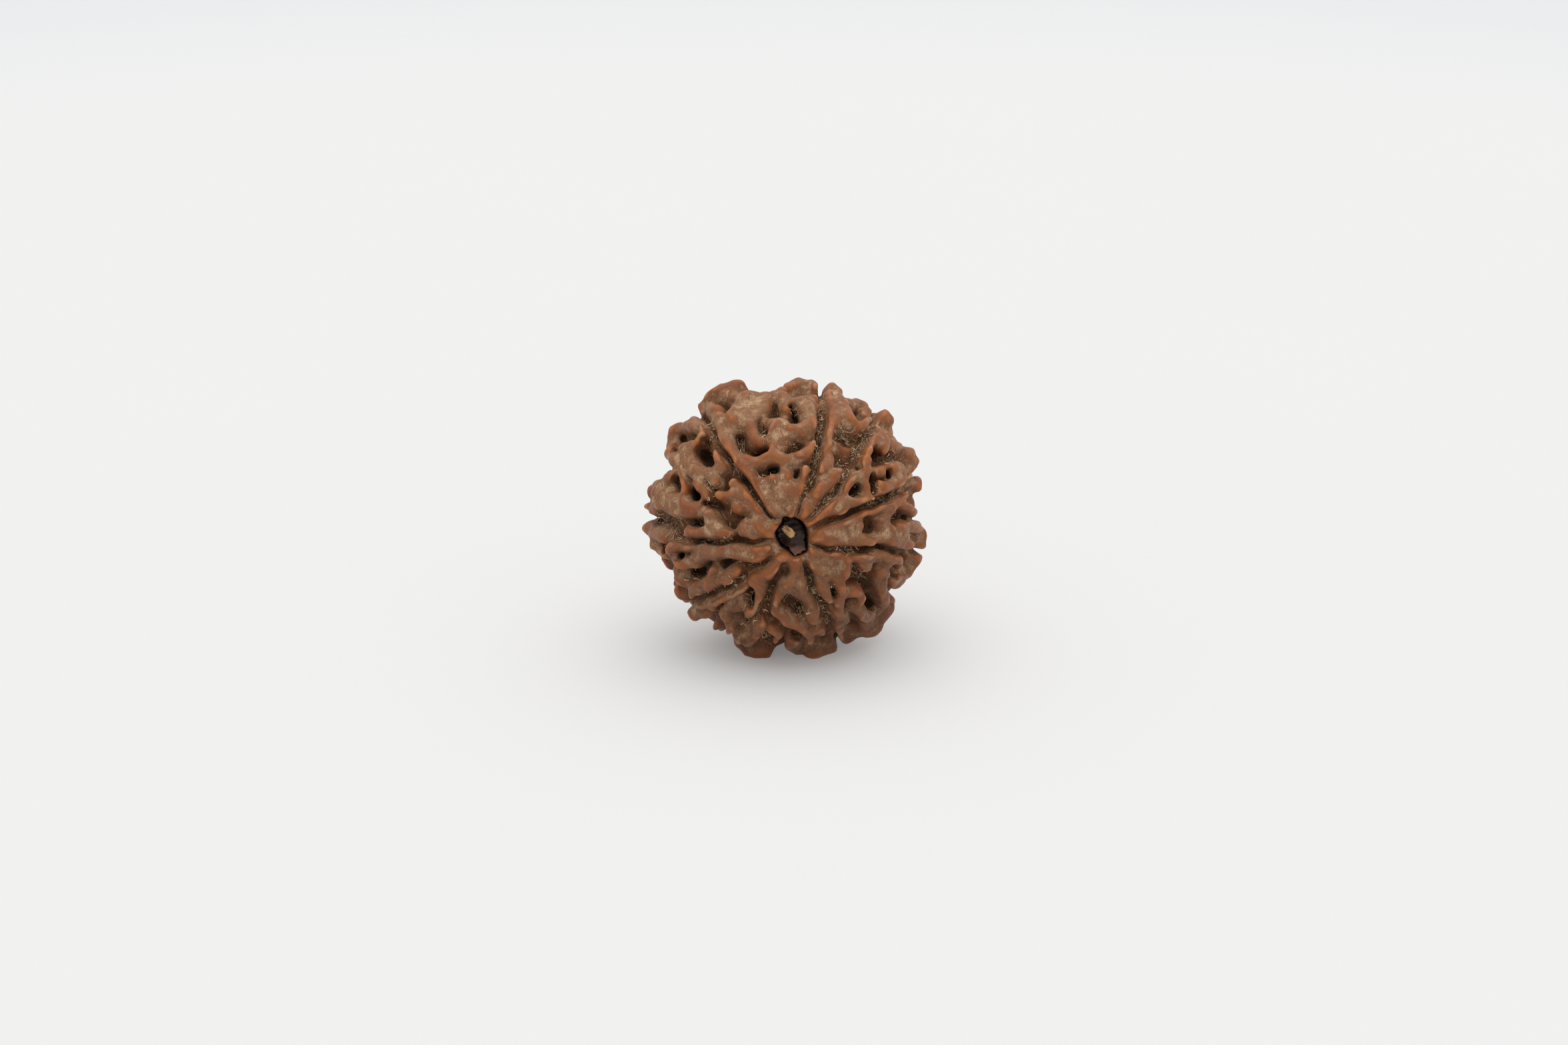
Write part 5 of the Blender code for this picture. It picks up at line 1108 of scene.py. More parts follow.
class Ground:
    """The stone's surface, to lay threads on."""

    def __init__(self, ob):
        self.places = places_of(ob.data)
        index = np.empty(3 * len(ob.data.polygons), np.int32)
        ob.data.polygons.foreach_get("vertices", index)
        self.tree = BVHTree.FromPolygons(self.places.tolist(), index.reshape(-1, 3).tolist())

    def seen(self, u, v):
        """Place and normal of the surface seen at (u, v)."""
        hit, normal, _, _ = self.tree.ray_cast(Vector(EYE), Vector(sight(u, v)).normalized())
        return (None, None) if hit is None else (np.array(hit), np.array(normal))

    def nearest(self, p):
        """Nearest place of the surface and its normal."""
        hit, normal, _, _ = self.tree.find_nearest(Vector(p))
        return np.array(hit), np.array(normal)

    def clear(self, p, gap):
        """The same place, or the nearest one outside the surface by that gap."""
        hit, normal = self.nearest(p)
        return p if (p - hit) @ normal > gap else hit + gap * normal

    def room(self, p, way, most):
        """How far a thread can run that way before it meets the surface."""
        hit, _, _, far = self.tree.ray_cast(Vector(p), Vector(way), most)
        return most if hit is None else far

    def thread(self, rng, p, normal, length, steps=THREAD_STEPS, gap=0.035):
        """Path of one shred that starts on the surface, picks the roomiest way and curls along it."""
        start = p + 0.10 * normal
        best, way = -1.0, None
        for _ in range(THREAD_TRIES):
            d = rng.normal(size=3)
            d = unit(d - 0.8 * (d @ normal) * normal)
            free = self.room(start, d, length) * rng.uniform(0.6, 1.0)
            if free > best:
                best, way = free, d
        path = [self.clear(p, gap * 0.3)]
        bend = rng.normal(scale=THREAD_CURL, size=3)
        for _ in range(steps):
            way = unit(way + bend / steps + rng.normal(scale=THREAD_SHAKE, size=3))
            path.append(self.clear(path[-1] + way * length / steps, gap))
        return np.array(path)


def height(places):
    """How far places are above the crest surface."""
    far = places @ AXIS
    size = (places ** 2).sum(-1)
    g = np.sqrt((size - far ** 2) / HALF_ACROSS ** 2 + far ** 2 / HALF_ALONG ** 2)
    return np.sqrt(size) * (1.0 - 1.0 / g)


def spots_on(line, at):
    """Both coordinates of spots on a drawn line, at places counted in its points."""
    spots = np.array(line)
    return [np.interp(at, np.arange(len(spots)), spots[:, k]) for k in (0, 1)]


def strewn(spots, rng, stray):
    """The same spots, each moved aside by a seeded draw."""
    return zip(*[part + rng.normal(scale=stray, size=len(part)) for part in spots])


class Nodes:
    """Short way to add and join shader nodes."""

    def __init__(self, tree):
        self.tree = tree

    def add(self, kind, **settings):
        node = self.tree.nodes.new(kind)
        for word, value in settings.items():
            setattr(node, word, value)
        return node

    def feed(self, socket, value):
        """Joins an output to a socket, or sets the socket's own number or colour."""
        if isinstance(value, bpy.types.NodeSocket):
            self.tree.links.new(value, socket)
        else:
            socket.default_value = (*value, 1.0) if socket.type == "RGBA" else value

    def math(self, operation, a, b):
        node = self.add("ShaderNodeMath", operation=operation)
        self.feed(node.inputs[0], a)
        self.feed(node.inputs[1], b)
        return node.outputs[0]

    def times(self, product, *others):
        for other in others:
            product = self.math("MULTIPLY", product, other)
        return product

    def ease(self, value, low, high, start=0.0, end=1.0):
        """Smooth step of a value between two levels."""
        node = self.add("ShaderNodeMapRange", interpolation_type="SMOOTHSTEP")
        for socket, given in zip(node.inputs, (value, low, high, start, end)):
            self.feed(socket, given)
        return node.outputs[0]

    def mix(self, mask, a, b, blend="MIX"):
        """From colour a to colour b by a mask."""
        node = self.add("ShaderNodeMix", data_type="RGBA", blend_type=blend)
        self.feed(node.inputs[0], mask)
        self.feed(node.inputs[6], a)
        self.feed(node.inputs[7], b)
        return node.outputs[2]

    def between(self, mask, a, b):
        """From number a to number b by a mask."""
        node = self.add("ShaderNodeMix", data_type="FLOAT")
        for socket, given in zip((node.inputs[0], node.inputs[2], node.inputs[3]), (mask, a, b)):
            self.feed(socket, given)
        return node.outputs[0]

    def value_of(self, word):
        return self.add("ShaderNodeAttribute", attribute_name=word).outputs["Fac"]

    def place(self):
        return self.add("ShaderNodeTexCoord").outputs["Object"]

    def group(self, name, **inputs):
        node = self.add("ShaderNodeGroup", node_tree=shared_group(name, *GROUPS[name]))
        for word, value in inputs.items():
            self.feed(node.inputs[word], value)
        return node.outputs[0]

    def mottle(self, size, amount, softness):
        return self.group("Mottle", Size=size, Amount=amount, Softness=softness)

    def noise(self, size, detail, rough=0.55):
        """Noise whose features are about that many metres across."""
        node = self.add("ShaderNodeTexNoise")
        self.feed(node.inputs["Vector"], self.place())
        self.feed(node.inputs["Scale"], self.math("DIVIDE", 1.0, size))
        self.feed(node.inputs["Detail"], detail)
        self.feed(node.inputs["Roughness"], rough)
        return node.outputs["Fac"]


def mottle_parts(nodes, given):
    """Soft blotches: one where they lie, zero between them."""
    blotch = nodes.noise(given["Size"], 4.0, 0.6)
    edge = nodes.math("SUBTRACT", 0.78, nodes.times(given["Amount"], 0.56))
    low = nodes.math("SUBTRACT", edge, given["Softness"])
    high = nodes.math("ADD", edge, given["Softness"])
    return nodes.ease(blotch, low, high)


def speckle_parts(nodes, given):
    """Small scattered specks: one on a speck, zero between them."""
    cells = nodes.add("ShaderNodeTexVoronoi")
    nodes.feed(cells.inputs["Vector"], nodes.place())
    nodes.feed(cells.inputs["Scale"], nodes.math("DIVIDE", 1.0, given["Spacing"]))
    dot = nodes.ease(cells.outputs["Distance"], given["Size"], nodes.times(given["Size"], 0.4))
    return nodes.times(dot, nodes.math("LESS_THAN", cells.outputs["Color"], given["Amount"]))


def grain_parts(nodes, given):
    """Fine rough relief of a dry plant surface, from pores and soft unevenness."""
    coarse = nodes.noise(given["Size"], 2.0, 0.5)
    fine = nodes.noise(nodes.times(given["Size"], 0.25), 3.0, 0.6)
    return nodes.between(given["Fine"], coarse, fine)


# Shared groups: usual values of their inputs, name of the output, and what they hold.
GROUPS = {
    "Mottle": ({"Size": 0.002, "Amount": 0.5, "Softness": 0.12}, "Mask", mottle_parts),
    "Speckle": ({"Spacing": 0.0003, "Size": 0.3, "Amount": 0.3}, "Mask", speckle_parts),
    "Plant grain": ({"Size": 0.0004, "Fine": 0.4}, "Height", grain_parts),
}


def shared_group(name, inputs, output, parts):
    """Shader group with named value inputs and one output, made at its first use."""
    tree = bpy.data.node_groups.get(name)
    if tree is None:
        tree = bpy.data.node_groups.new(name, "ShaderNodeTree")
        for word, value in inputs.items():
            socket = tree.interface.new_socket(word, in_out="INPUT", socket_type="NodeSocketFloat")
            socket.default_value = value
        tree.interface.new_socket(output, in_out="OUTPUT", socket_type="NodeSocketFloat")
        nodes = Nodes(tree)
        given = nodes.add("NodeGroupInput").outputs
        nodes.feed(nodes.add("NodeGroupOutput").inputs[0], parts(nodes, given))
    return tree


def new_material(name):
    """Material with a short way to its nodes and the inputs of its shader."""
    mat = bpy.data.materials.new(name)
    mat.use_nodes = True
    return mat, Nodes(mat.node_tree), mat.node_tree.nodes["Principled BSDF"].inputs


def roughen(nodes, shader, size, fine, strength, depth):
    """Gives a shader the fine relief of a dry plant surface."""
    node = nodes.add("ShaderNodeBump")
    nodes.feed(node.inputs["Strength"], strength)
    nodes.feed(node.inputs["Distance"], depth)
    nodes.feed(node.inputs["Height"], nodes.group("Plant grain", Size=size, Fine=fine))
    nodes.feed(shader["Normal"], node.outputs["Normal"])


def stone_material(look):
    """Waxy orange-brown crests, dusty slopes and plateaus, dark fibrous valleys, with shade painted into
    pits, enclosed hollows, undersides and the mouth and light painted onto tops.
    """
    mat, nodes, shader = new_material("stone_wax_and_dust")
    lift, edge, full, deep, up = [nodes.value_of(word) for word in ("lift", "edge", "full", "deep", "up")]
    blotch = nodes.mottle(0.0019, 0.5, 0.18)
    small = nodes.mottle(0.00065, 0.5, 0.14)
    crumb = nodes.mottle(0.00024, 0.55, 0.10)
    fine = nodes.noise(0.00015, 3.0, 0.65)
    cloud = nodes.noise(0.0032, 3.0)
    drift = nodes.ease(nodes.noise(0.0050, 2.0), 0.40, 0.60)
    shift = nodes.times(nodes.math("SUBTRACT", blotch, 0.5), 0.09)
    shift = nodes.math("ADD", shift, nodes.times(nodes.math("SUBTRACT", drift, 0.5), 0.06))
    worn = nodes.math("ADD", full, shift)

    # Sides of the ridges, and on the crests wax that is golden in clouds and on thin tips.
    slope = nodes.mix(small, look.slope, look.slope_red)
    waxed = nodes.times(nodes.ease(worn, 0.50, 0.36), nodes.ease(lift, -1.3, -0.5))
    crest = nodes.mix(nodes.ease(cloud, 0.38, 0.60), look.crest, look.crest_gold)
    crest = nodes.mix(nodes.ease(worn, 0.35, 0.24), crest, look.tip)
    crest = nodes.mix(nodes.times(small, 0.30), crest, look.slope_red)
    colour = nodes.mix(waxed, slope, crest)

    # Dust, more of it on what faces up, which also paints the top lighter as light from above would: a thin
    # film, powder and cakes on flats, and pale lines along sharp edges, partly worn dust and partly a
    # painted rim highlight.
    dust_and_top_light = nodes.ease(up, -0.60, 0.35, 0.28, 1.0)
    film = nodes.times(nodes.between(drift, 0.08, 0.55), nodes.ease(worn, 0.27, 0.42), dust_and_top_light)
    colour = nodes.mix(film, colour, look.dust_tan)
    bare = nodes.times(nodes.ease(worn, 0.35, 0.51), nodes.ease(lift, -1.75, -0.75), dust_and_top_light)
    powder = nodes.times(nodes.between(blotch, 0.60, 1.0), nodes.between(crumb, 0.72, 1.0))
    colour = nodes.mix(nodes.times(bare, powder), colour, look.dust_tan)
    patch = nodes.mottle(0.0010, 0.48, 0.08)
    caked = nodes.times(nodes.between(patch, 0.05, 0.70), nodes.between(small, 0.60, 1.0))
    dusted = nodes.times(bare, caked)
    colour = nodes.mix(nodes.times(dusted, nodes.between(crumb, 0.60, 1.0)), colour, look.dust)
    # Pale line along sharp edges: partly worn dust, partly a painted rim highlight.
    line = nodes.times(nodes.ease(edge, 0.40, 0.33), nodes.ease(blotch, 0.25, 0.9), 0.32)
    colour = nodes.mix(line, colour, look.dust)

    # Floors of the grooves, dark of their own and with painted shade where the stone closes round them,
    # then painted shade in the pits.
    # Groove floors: dark by depth, and painted shade where the stone closes round them.
    low = nodes.math("MAXIMUM", nodes.ease(lift, -1.05, -1.80), nodes.ease(deep, 0.60, 0.73))
    low = nodes.times(low, nodes.ease(full, 0.38, 0.50))
    valley = nodes.mix(small, look.valley, look.valley_tan)
    valley = nodes.mix(nodes.times(crumb, 0.50), valley, look.lint)
    colour = nodes.mix(low, colour, valley)
    # Painted shade: deep enclosed pits are coloured near black.
    pit_shade = nodes.times(nodes.ease(deep, 0.70, 0.86), nodes.ease(lift, -0.9, -1.7))
    colour = nodes.mix(pit_shade, colour, look.pit_shade)

    # Pale specks, fine light and dark grain, painted shade on undersides and painted light on tops, and
    # painted shade on the wall of the mouth.
    specks = nodes.group("Speckle", Spacing=0.00013, Size=0.46, Amount=0.30)
    specks = nodes.times(specks, nodes.ease(fine, 0.42, 0.60), nodes.between(dusted, 0.12, 0.75))
    colour = nodes.mix(specks, colour, look.speck)
    darker = nodes.between(waxed, 0.74, 0.89)
    lighter = nodes.between(waxed, 1.26, 1.10)
    shade = nodes.ease(fine, 0.30, 0.70, darker, lighter)
    # Painted light and shade: lighter on what faces up, darker on the undersides.
    shade = nodes.times(shade, nodes.ease(up, -0.8, 0.9, 0.64, 1.14))
    tone = nodes.add("ShaderNodeCombineColor")
    for socket in tone.inputs[:3]:
        nodes.feed(socket, shade)
    colour = nodes.mix(1.0, colour, tone.outputs[0], "MULTIPLY")
    # Painted shade: near black on the wall of the mouth and in the canal.
    colour = nodes.mix(nodes.value_of("mouth"), colour, look.mouth)
    nodes.feed(shader["Base Color"], colour)

    rough = nodes.between(waxed, 0.74, nodes.between(cloud, 0.46, 0.34))
    rough = nodes.between(dusted, rough, 0.85)
    rough = nodes.between(low, rough, 0.92)
    nodes.feed(shader["Roughness"], rough)
    shader["Specular IOR Level"].default_value = 0.33
    shader["Sheen Weight"].default_value = 0.03
    shader["Sheen Roughness"].default_value = 0.45
    shader["Sheen Tint"].default_value = (0.95, 0.85, 0.75, 1.0)
    strength = nodes.between(low, nodes.between(waxed, 0.70, 0.30), 1.0)
    roughen(nodes, shader, 0.00035, 0.45, strength, 0.00007)
    return mat


def pith_material(look):
    """Dried core: almost black, purple-brown and slightly glossy, redder on its raised lower edge, which is
    also painted lighter as if lit, with a painted bluish sheen on its cup's rim.
    """
    mat, nodes, shader = new_material("pith_dried")
    blotch = nodes.mottle(0.0004, 0.5, 0.18)
    colour = nodes.mix(blotch, look.pith, look.pith_brown)
    # Painted light on the raised lower edge, partly its redder colour; painted bluish sheen on the cup's
    # rim.
    lit = nodes.times(nodes.value_of("rim"), nodes.between(blotch, 0.60, 1.0))
    colour = nodes.mix(lit, colour, look.pith_red_lit_edge)
    colour = nodes.mix(nodes.value_of("ring"), colour, look.cup_rim_sheen)
    nodes.feed(shader["Base Color"], colour)
    nodes.feed(shader["Roughness"], nodes.between(nodes.mottle(0.00016, 0.4, 0.10), 0.62, 0.28))
    roughen(nodes, shader, 0.00022, 0.35, 0.9, 0.00008)
    return mat


def straw_material(name, pale, brown, dark):
    """Matte straw, each thread in its own tone between brown and pale, with darker mottled patches; on the
    strand that tone is painted shade, darker at its far end and in its furrows.
    """
    mat, nodes, shader = new_material(name)
    fine = nodes.mottle(0.0003, 0.5, 0.2)
    colour = nodes.mix(nodes.value_of("shade"), brown, pale)
    colour = nodes.mix(nodes.times(fine, 0.32), colour, dark)
    nodes.feed(shader["Base Color"], colour)
    nodes.feed(shader["Roughness"], nodes.between(fine, 0.70, 0.88))
    roughen(nodes, shader, 0.00012, 0.5, 0.5, 0.00003)
    return mat


def crack_material():
    """Painted shade of a hairline crack: nearly black, with brown where the edge has crumbled."""
    mat, nodes, shader = new_material("crack_shade")
    fine = nodes.mottle(0.0002, 0.35, 0.15)
    nodes.feed(shader["Base Color"], nodes.mix(fine, CRACK_SHADE, CRACK_BROWN))
    nodes.feed(shader["Roughness"], nodes.between(fine, 0.9, 0.98))
    return mat


def floor_material(look):
    """Matte pale board, a little bluer and darker far behind the seed as painted shade, with a very faint
    grain; it also glows a little by itself, painted light that lightens the shadow round the seed.
    """
    mat, nodes, shader = new_material("stage_board")
    far = nodes.add("ShaderNodeVectorMath", operation="LENGTH")
    nodes.feed(far.inputs[0], nodes.place())
    edge = nodes.ease(far.outputs["Value"], 0.20, 0.34)
    grain = nodes.times(nodes.mottle(0.05, 0.5, 0.25), 0.25)
    near = nodes.mix(grain, look.floor, [part * 0.985 for part in look.floor])
    nodes.feed(shader["Base Color"], nodes.mix(edge, near, look.floor_far_shaded))
    shader["Roughness"].default_value = 0.95
    shader["Specular IOR Level"].default_value = 0.2
    # Painted light: the board glows a little by itself.
    shader["Emission Color"].default_value = (1.0, 1.0, 0.99, 1.0)
    shader["Emission Strength"].default_value = look.glow
    return mat


def build_stone(look):
    """The ridged stone at a fine grid, with its relief kept on its points for the finish."""
    field = stone_field(look.cell)
    verts, faces = biggest_piece(*surface(field))
    verts = soften(verts, faces, look.rounds)
    verts[:, 2] = np.maximum(verts[:, 2], -FLOOR_BELOW)
    ob = new_object("stone_skin", verts, faces, stone_material(look))
    thin_out(ob, look.triangles)
    places = places_of(ob.data)
    lift = sample(field, field.h, places)
    keep_values(ob.data, "lift", lift)
    for word, reach in REACHES:
        keep_values(ob.data, word, sample(field, fullness(field, reach), places))
    # Painted shade inside the mouth and the canal, kept as the mouth value.
    mouth_wall_shade = in_mouth(places) * ramp(lift, MOUTH_BASE - WALL_BELOW, -WALL_FADE)
    keep_values(ob.data, "mouth", np.maximum(mouth_wall_shade, in_bore(places)))
    # Facing up, for painted light on tops, painted shade on undersides and more settled dust.
    keep_values(ob.data, "up", 0.6 * normals_of(ob.data)[:, 2] + 0.4 * places[:, 2] / HALF_ACROSS)
    dress(ob, "stone")


def beside_bore(side, over, forward):
    """Places by how far they are to the side of the bore's axis, over it and forward along it."""
    side, over, forward = [np.asarray(part)[..., None] for part in (side, over, forward)]
    return side * SIDE + over * OVER + forward * AXIS


def pith_level(u, v, part, waves):
    """How far forward the pith's face is where it is seen at (u, v), its facet for painted light and its
    cup's rim for a painted sheen.
    """
    across, up = u - CUP[0], v - CUP[1]
    cup = np.exp(-(across ** 2 + up ** 2) / 0.26)
    ring = np.exp(-((np.hypot(across, up) - CUP_RIM) / 0.11) ** 2) * (u < 0.1)
    dome = np.exp(-((u - 1.15) ** 2 / 0.35 + (v + 1.15) ** 2 / 0.5))
    facet = ramp(v, -2.1, -1.1) * ramp(u, 0.1, 0.5)
    crumple = sum(0.022 * np.sin(a * u + b * v + c) for a, b, c in waves)
    level = PITH_TOP + PITH_RAISED - PITH_LEAN * (v + 1.7) - 0.60 * cup + 0.16 * ring + 0.24 * dome
    level = level + 0.42 * facet ** 1.5 + crumple
    lit = ramp(u, -0.1, 0.5) * ramp(v, -2.2, -0.5) * ramp(part, 0.35, 0.35)
    return level, lit, ring * ramp(u, 0.55, -1.0)


def build_pith(look):
    """Dried core of the mouth: cup on the left, swell on the right, crumpled raised lower edge."""
    corners = mouth_corners()
    mx, my = middle_of(corners)
    rng = np.random.default_rng(SEED + 80)
    waves = [(rng.normal() * 7.0, rng.normal() * 7.0, rng.uniform(0.0, 6.28)) for _ in range(6)]
    turn = full_turn(PITH_SECTORS)
    far = np.linspace(0.2, 3.5, 661)

    def reach(way, level, gap):
        inset = gap + MOUTH_TAPER * max(MOUTH_EDGE - level, 0.0)
        clear = outline_distance(mx + far * way[0], my + far * way[1], corners) + inset
        return far[np.argmax(clear > 0.0)]

    ways = np.stack([np.cos(turn), np.sin(turn)], axis=1)
    rough_edge = sum(0.03 * np.sin(k * turn + rng.uniform(0.0, 6.28)) for k in (5, 9, 14, 23))
    outer = np.array([reach(w, PITH_TOP, look.gap) for w in ways]) + rough_edge
    bottom = MOUTH_FLOOR + GAP
    foot = np.array([reach(w, bottom, GAP) for w in ways])
    parts = np.append(np.linspace(0.02, 1.0, PITH_ROUNDS), 1.0)[:, None]
    a = mx + parts * outer[None] * ways[None, :, 0]
    b = my + parts * outer[None] * ways[None, :, 1]
    view = beside_bore(a, b, PITH_TOP) - EYE
    scale = VIEW_FAR / -(view @ BACK)
    level, rim, ring = pith_level((view @ RIGHT) * scale, (view @ UP) * scale, parts, waves)
    level -= 0.30 * ramp(parts, 0.88, 0.12) ** 2 * (1.0 - 0.7 * rim)
    level[-1] -= 0.25
    down = beside_bore(mx + foot * ways[:, 0], my + foot * ways[:, 1], bottom)
    tips = [[beside_bore(mx, my, forward)] for forward in (level[0].mean(), bottom)]
    verts, faces = loft([tips[0], *beside_bore(a, b, level), down, tips[1]])
    shades = {word: np.concatenate([[0.0], mask.ravel(), np.zeros(PITH_SECTORS + 1)])
              for word, mask in (("rim", rim), ("ring", ring))}
    dress(new_object("pith_core", verts, faces, pith_material(look), shades), "pith")


def seen_in_mouth(u, v, forward):
    """Place that far forward along the bore, under what is seen at (u, v)."""
    ray = sight(u, v)
    return EYE + (forward - EYE @ AXIS) / (ray @ AXIS) * ray


def build_strand(look):
    """Knobbly stub of straw strand: a bundle of furrowed fibres, broken off at its near end."""
    rng = np.random.default_rng(SEED + 90)
    start, end = [seen_in_mouth(*spot) for spot in STRAND_ENDS]
    way = unit(end - start)
    one = unit(np.cross(way, OVER))
    two = np.cross(one, way)
    turn = full_turn(STRAND_SECTORS)
    waves = [(rng.integers(2, 9), rng.normal() * 7.0, rng.uniform(0.0, 6.28)) for _ in range(7)]
    rings, shades = [[start - STRAND_R * 0.55 * way]], [0.0]
    for j in range(STRAND_STEPS + 1):
        t = j / STRAND_STEPS
        round_off = math.sqrt(max(1.0 - abs(2.0 * t - 1.0) ** 6, 0.10))
        knob = 1.0 + 0.10 * np.sin(3 * turn + 6.0 * t) + 0.07 * np.sin(9.0 * t + turn)
        knob += sum(0.045 * np.sin(k * turn + f * t + c) for k, f, c in waves)
        r = STRAND_R * (0.8 + 0.2 * t) * round_off * knob
        r -= 0.040 * np.abs(np.sin(9 * turn + 3.0 * math.sin(4.0 * t)))
        middle = start + (end - start) * (1.38 * t - 0.12)
        rings.append(middle + r[:, None] * (np.cos(turn)[:, None] * one + np.sin(turn)[:, None] * two))
        # Painted shade: darker toward the far end, deeper in the mouth, and in the furrows between the
        # knobs.
        shades += list(np.clip(0.25 + 0.9 * t + 3.0 * (knob - 1.0), 0.0, 1.0))
    rings.append([end + STRAND_R * 0.9 * way])
    verts, faces = loft(rings)
    mat = straw_material("strand_straw", look.straw, look.straw_shaded, look.straw_dark)
    dress(new_object("strand_stub", verts, faces, mat, {"shade": shades + [1.0]}), "strand")


def build_cracks(ground):
    """Hairline cracks: thin dark threads sunk almost level with the surface, painting the shade inside a
    crack.
    """
    rng = np.random.default_rng(SEED + 100)
    paths = []
    for line in CRACKS:
        at = np.linspace(0.0, len(line) - 1.0, CRACK_STEPS)
        path = []
        for u, v in strewn(spots_on(line, at), rng, CRACK_STRAY):
            hit, normal = ground.seen(u, v)
            if hit is None or (path and np.linalg.norm(hit - path[-1]) > CRACK_JUMP):
                hit, normal = path[-1], np.zeros(3)
            path.append(hit - CRACK_SINK * normal)
        paths.append(path)
    radii = CRACK_R * np.interp(np.linspace(0, 1, CRACK_STEPS), *CRACK_SHAPE)
    verts, faces = tubes(np.array(paths), np.tile(radii, (len(paths), 1)), 1.0, sides=6)
    dress(new_object("cracks", verts, faces, crack_material()), None)


def shred_starts(ground, ob, look):
    """Where shreds begin: along the drawn tufts, then in any deep place by a seeded draw."""
    rng = np.random.default_rng(SEED + 110)
    starts = []
    for count, stray, *line in TUFTS:
        at = rng.uniform(0.0, len(line) - 1.0, size=int(count * look.density))
        seen = [ground.seen(u, v) for u, v in strewn(spots_on(line, at), rng, stray)]
        starts += [start for start in seen if start[0] is not None]
    lift, deep, mouth = [kept_values(ob.data, word) for word in ("lift", "deep", "mouth")]
    patches = ripple(*ground.places.T, 3.2, SEED + 111)
    odds = ramp(lift, -0.75, -0.7) * ramp(deep, 0.56, 0.14)
    odds *= np.clip(patches + 0.35, 0.05, 1.0) * (mouth < 0.05)
    picked = rng.choice(len(odds), size=int(look.stray_count * look.density), p=odds / odds.sum())
    return starts + [ground.nearest(ground.places[i]) for i in picked]


def build_fibres(ground, ob, look):
    """Shredded fibres: curls and flakes in the grooves and pits, lint between them, and a few strands."""
    rng = np.random.default_rng(SEED + 120)
    paths, radii, shade = [], [], []
    profile = np.interp(np.linspace(0, 1, THREAD_STEPS + 1), *THREAD_SHAPE)
    starts = shred_starts(ground, ob, look)
    for hit, normal in starts:
        flake = rng.uniform() < look.flakes
        length = look.length * rng.uniform(0.35, 1.6) ** 1.2 * (0.55 if flake else 1.0)
        path = ground.thread(rng, hit, normal, length)
        if height(path).max() < look.proud:
            paths.append(path)
            radii.append(look.radius * rng.uniform(0.45, 1.30) * (2.0 if flake else 0.9) * profile)
            shade.append(rng.uniform(0.0, 1.0) ** (0.8 if flake else 1.3))
    for width, *line in STRANDS:
        at = np.linspace(0.0, len(line) - 1.0, THREAD_STEPS + 1)
        path = []
        for u, v in zip(*spots_on(line, at)):
            hit = ground.seen(u, v)[0]
            if hit is None or (path and np.linalg.norm(hit - path[-1]) > STRAND_JUMP):
                hit = path[-1] + 0.1 * RIGHT
            path.append(ground.clear(hit + 0.08 * BACK, 0.05))
        paths.append(np.array(path))
        radii.append(0.8 * width * profile)
        shade.append(1.0)
    verts, faces = tubes(np.array(paths), np.array(radii), 0.40, THREAD_SIDES)
    mat = straw_material("fibre_straw", look.pale, look.brown, look.dark)
    shade = np.repeat(shade, len(profile) * THREAD_SIDES)
    dress(new_object("fibres", verts, faces, mat, {"shade": shade}), None)
    build_lint(ground, starts, mat, look)


def build_lint(ground, starts, mat, look):
    """Tiny bits of fibre strewn round the places where shreds begin."""
    rng = np.random.default_rng(SEED + 130)
    paths, radii = [], []
    for i in rng.integers(0, len(starts), size=int(look.lint_count * look.density)):
        hit, normal = ground.nearest(starts[i][0] + rng.normal(scale=0.28, size=3))
        path = ground.thread(rng, hit, normal, rng.uniform(0.12, 0.34), LINT_STEPS, gap=0.015)
        if height(path).max() < look.proud:
            paths.append(path)
            radii.append(rng.uniform(0.010, 0.022) * LINT_SHAPE)
    verts, faces = tubes(np.array(paths), np.array(radii), 0.6, THREAD_SIDES)
    shade = np.repeat(rng.uniform(0.0, 0.9, size=len(paths)), len(LINT_SHAPE) * THREAD_SIDES)
    dress(new_object("lint", verts, faces, mat, {"shade": shade}), None)


def build_stage(look):
    """Pale board, soft top light, even sky and the photo's camera."""
    scene = bpy.context.scene
    half = look.floor_half
    corners = [(-half, -half, 0), (half, -half, 0), (half, half, 0), (-half, half, 0)]
    mesh = bpy.data.meshes.new("floor")
    mesh.from_pydata(corners, [], [(0, 1, 2, 3)])
    mesh.materials.append(floor_material(look))
    board = bpy.data.objects.new("floor", mesh)
    scene.collection.objects.link(board)

    sun = bpy.data.objects.new("top_light", bpy.data.lights.new("top_light", "SUN"))
    sun.data.energy = look.sun
    sun.data.angle = look.sun_size
    sun.rotation_euler = (look.sun_back, look.sun_side, 0.0)
    scene.collection.objects.link(sun)

    world = bpy.data.worlds.new("studio")
    scene.world = world
    world.use_nodes = True
    nodes = Nodes(world.node_tree)
    background = world.node_tree.nodes["Background"].inputs
    seen = nodes.add("ShaderNodeLightPath").outputs["Is Camera Ray"]
    nodes.feed(background["Color"], nodes.mix(seen, look.sky, look.backdrop))
    background["Strength"].default_value = 1.0

    eye = bpy.data.cameras.new("photo_camera")
    eye.lens, eye.sensor_width = LENS, SENSOR
    eye.clip_start, eye.clip_end = 0.005, 20.0
    camera = bpy.data.objects.new("photo_camera", eye)
    scene.collection.objects.link(camera)
    aim = -CENTRE_LEFT * RIGHT - CENTRE_DOWN * UP
    camera.location = raised(aim + EYE)
    camera.rotation_euler = Vector(-BACK).to_track_quat("-Z", "Y").to_euler()
    scene.camera = camera
    scene.view_settings.view_transform = "Standard"


def colour_prop(name, what, default):
    return FloatVectorProperty(name=name, description=what, default=default,
                               subtype="COLOR", min=0.0, max=1.0)


def number_prop(name, what, default, **limits):
    return FloatProperty(name=name, description=what, default=default, **limits)


def count_prop(name, what, default):
    return IntProperty(name=name, description=what, default=default, min=0)


def angle_prop(name, what, degrees):
    return FloatProperty(name=name, description=what, default=math.radians(degrees), subtype="ANGLE")


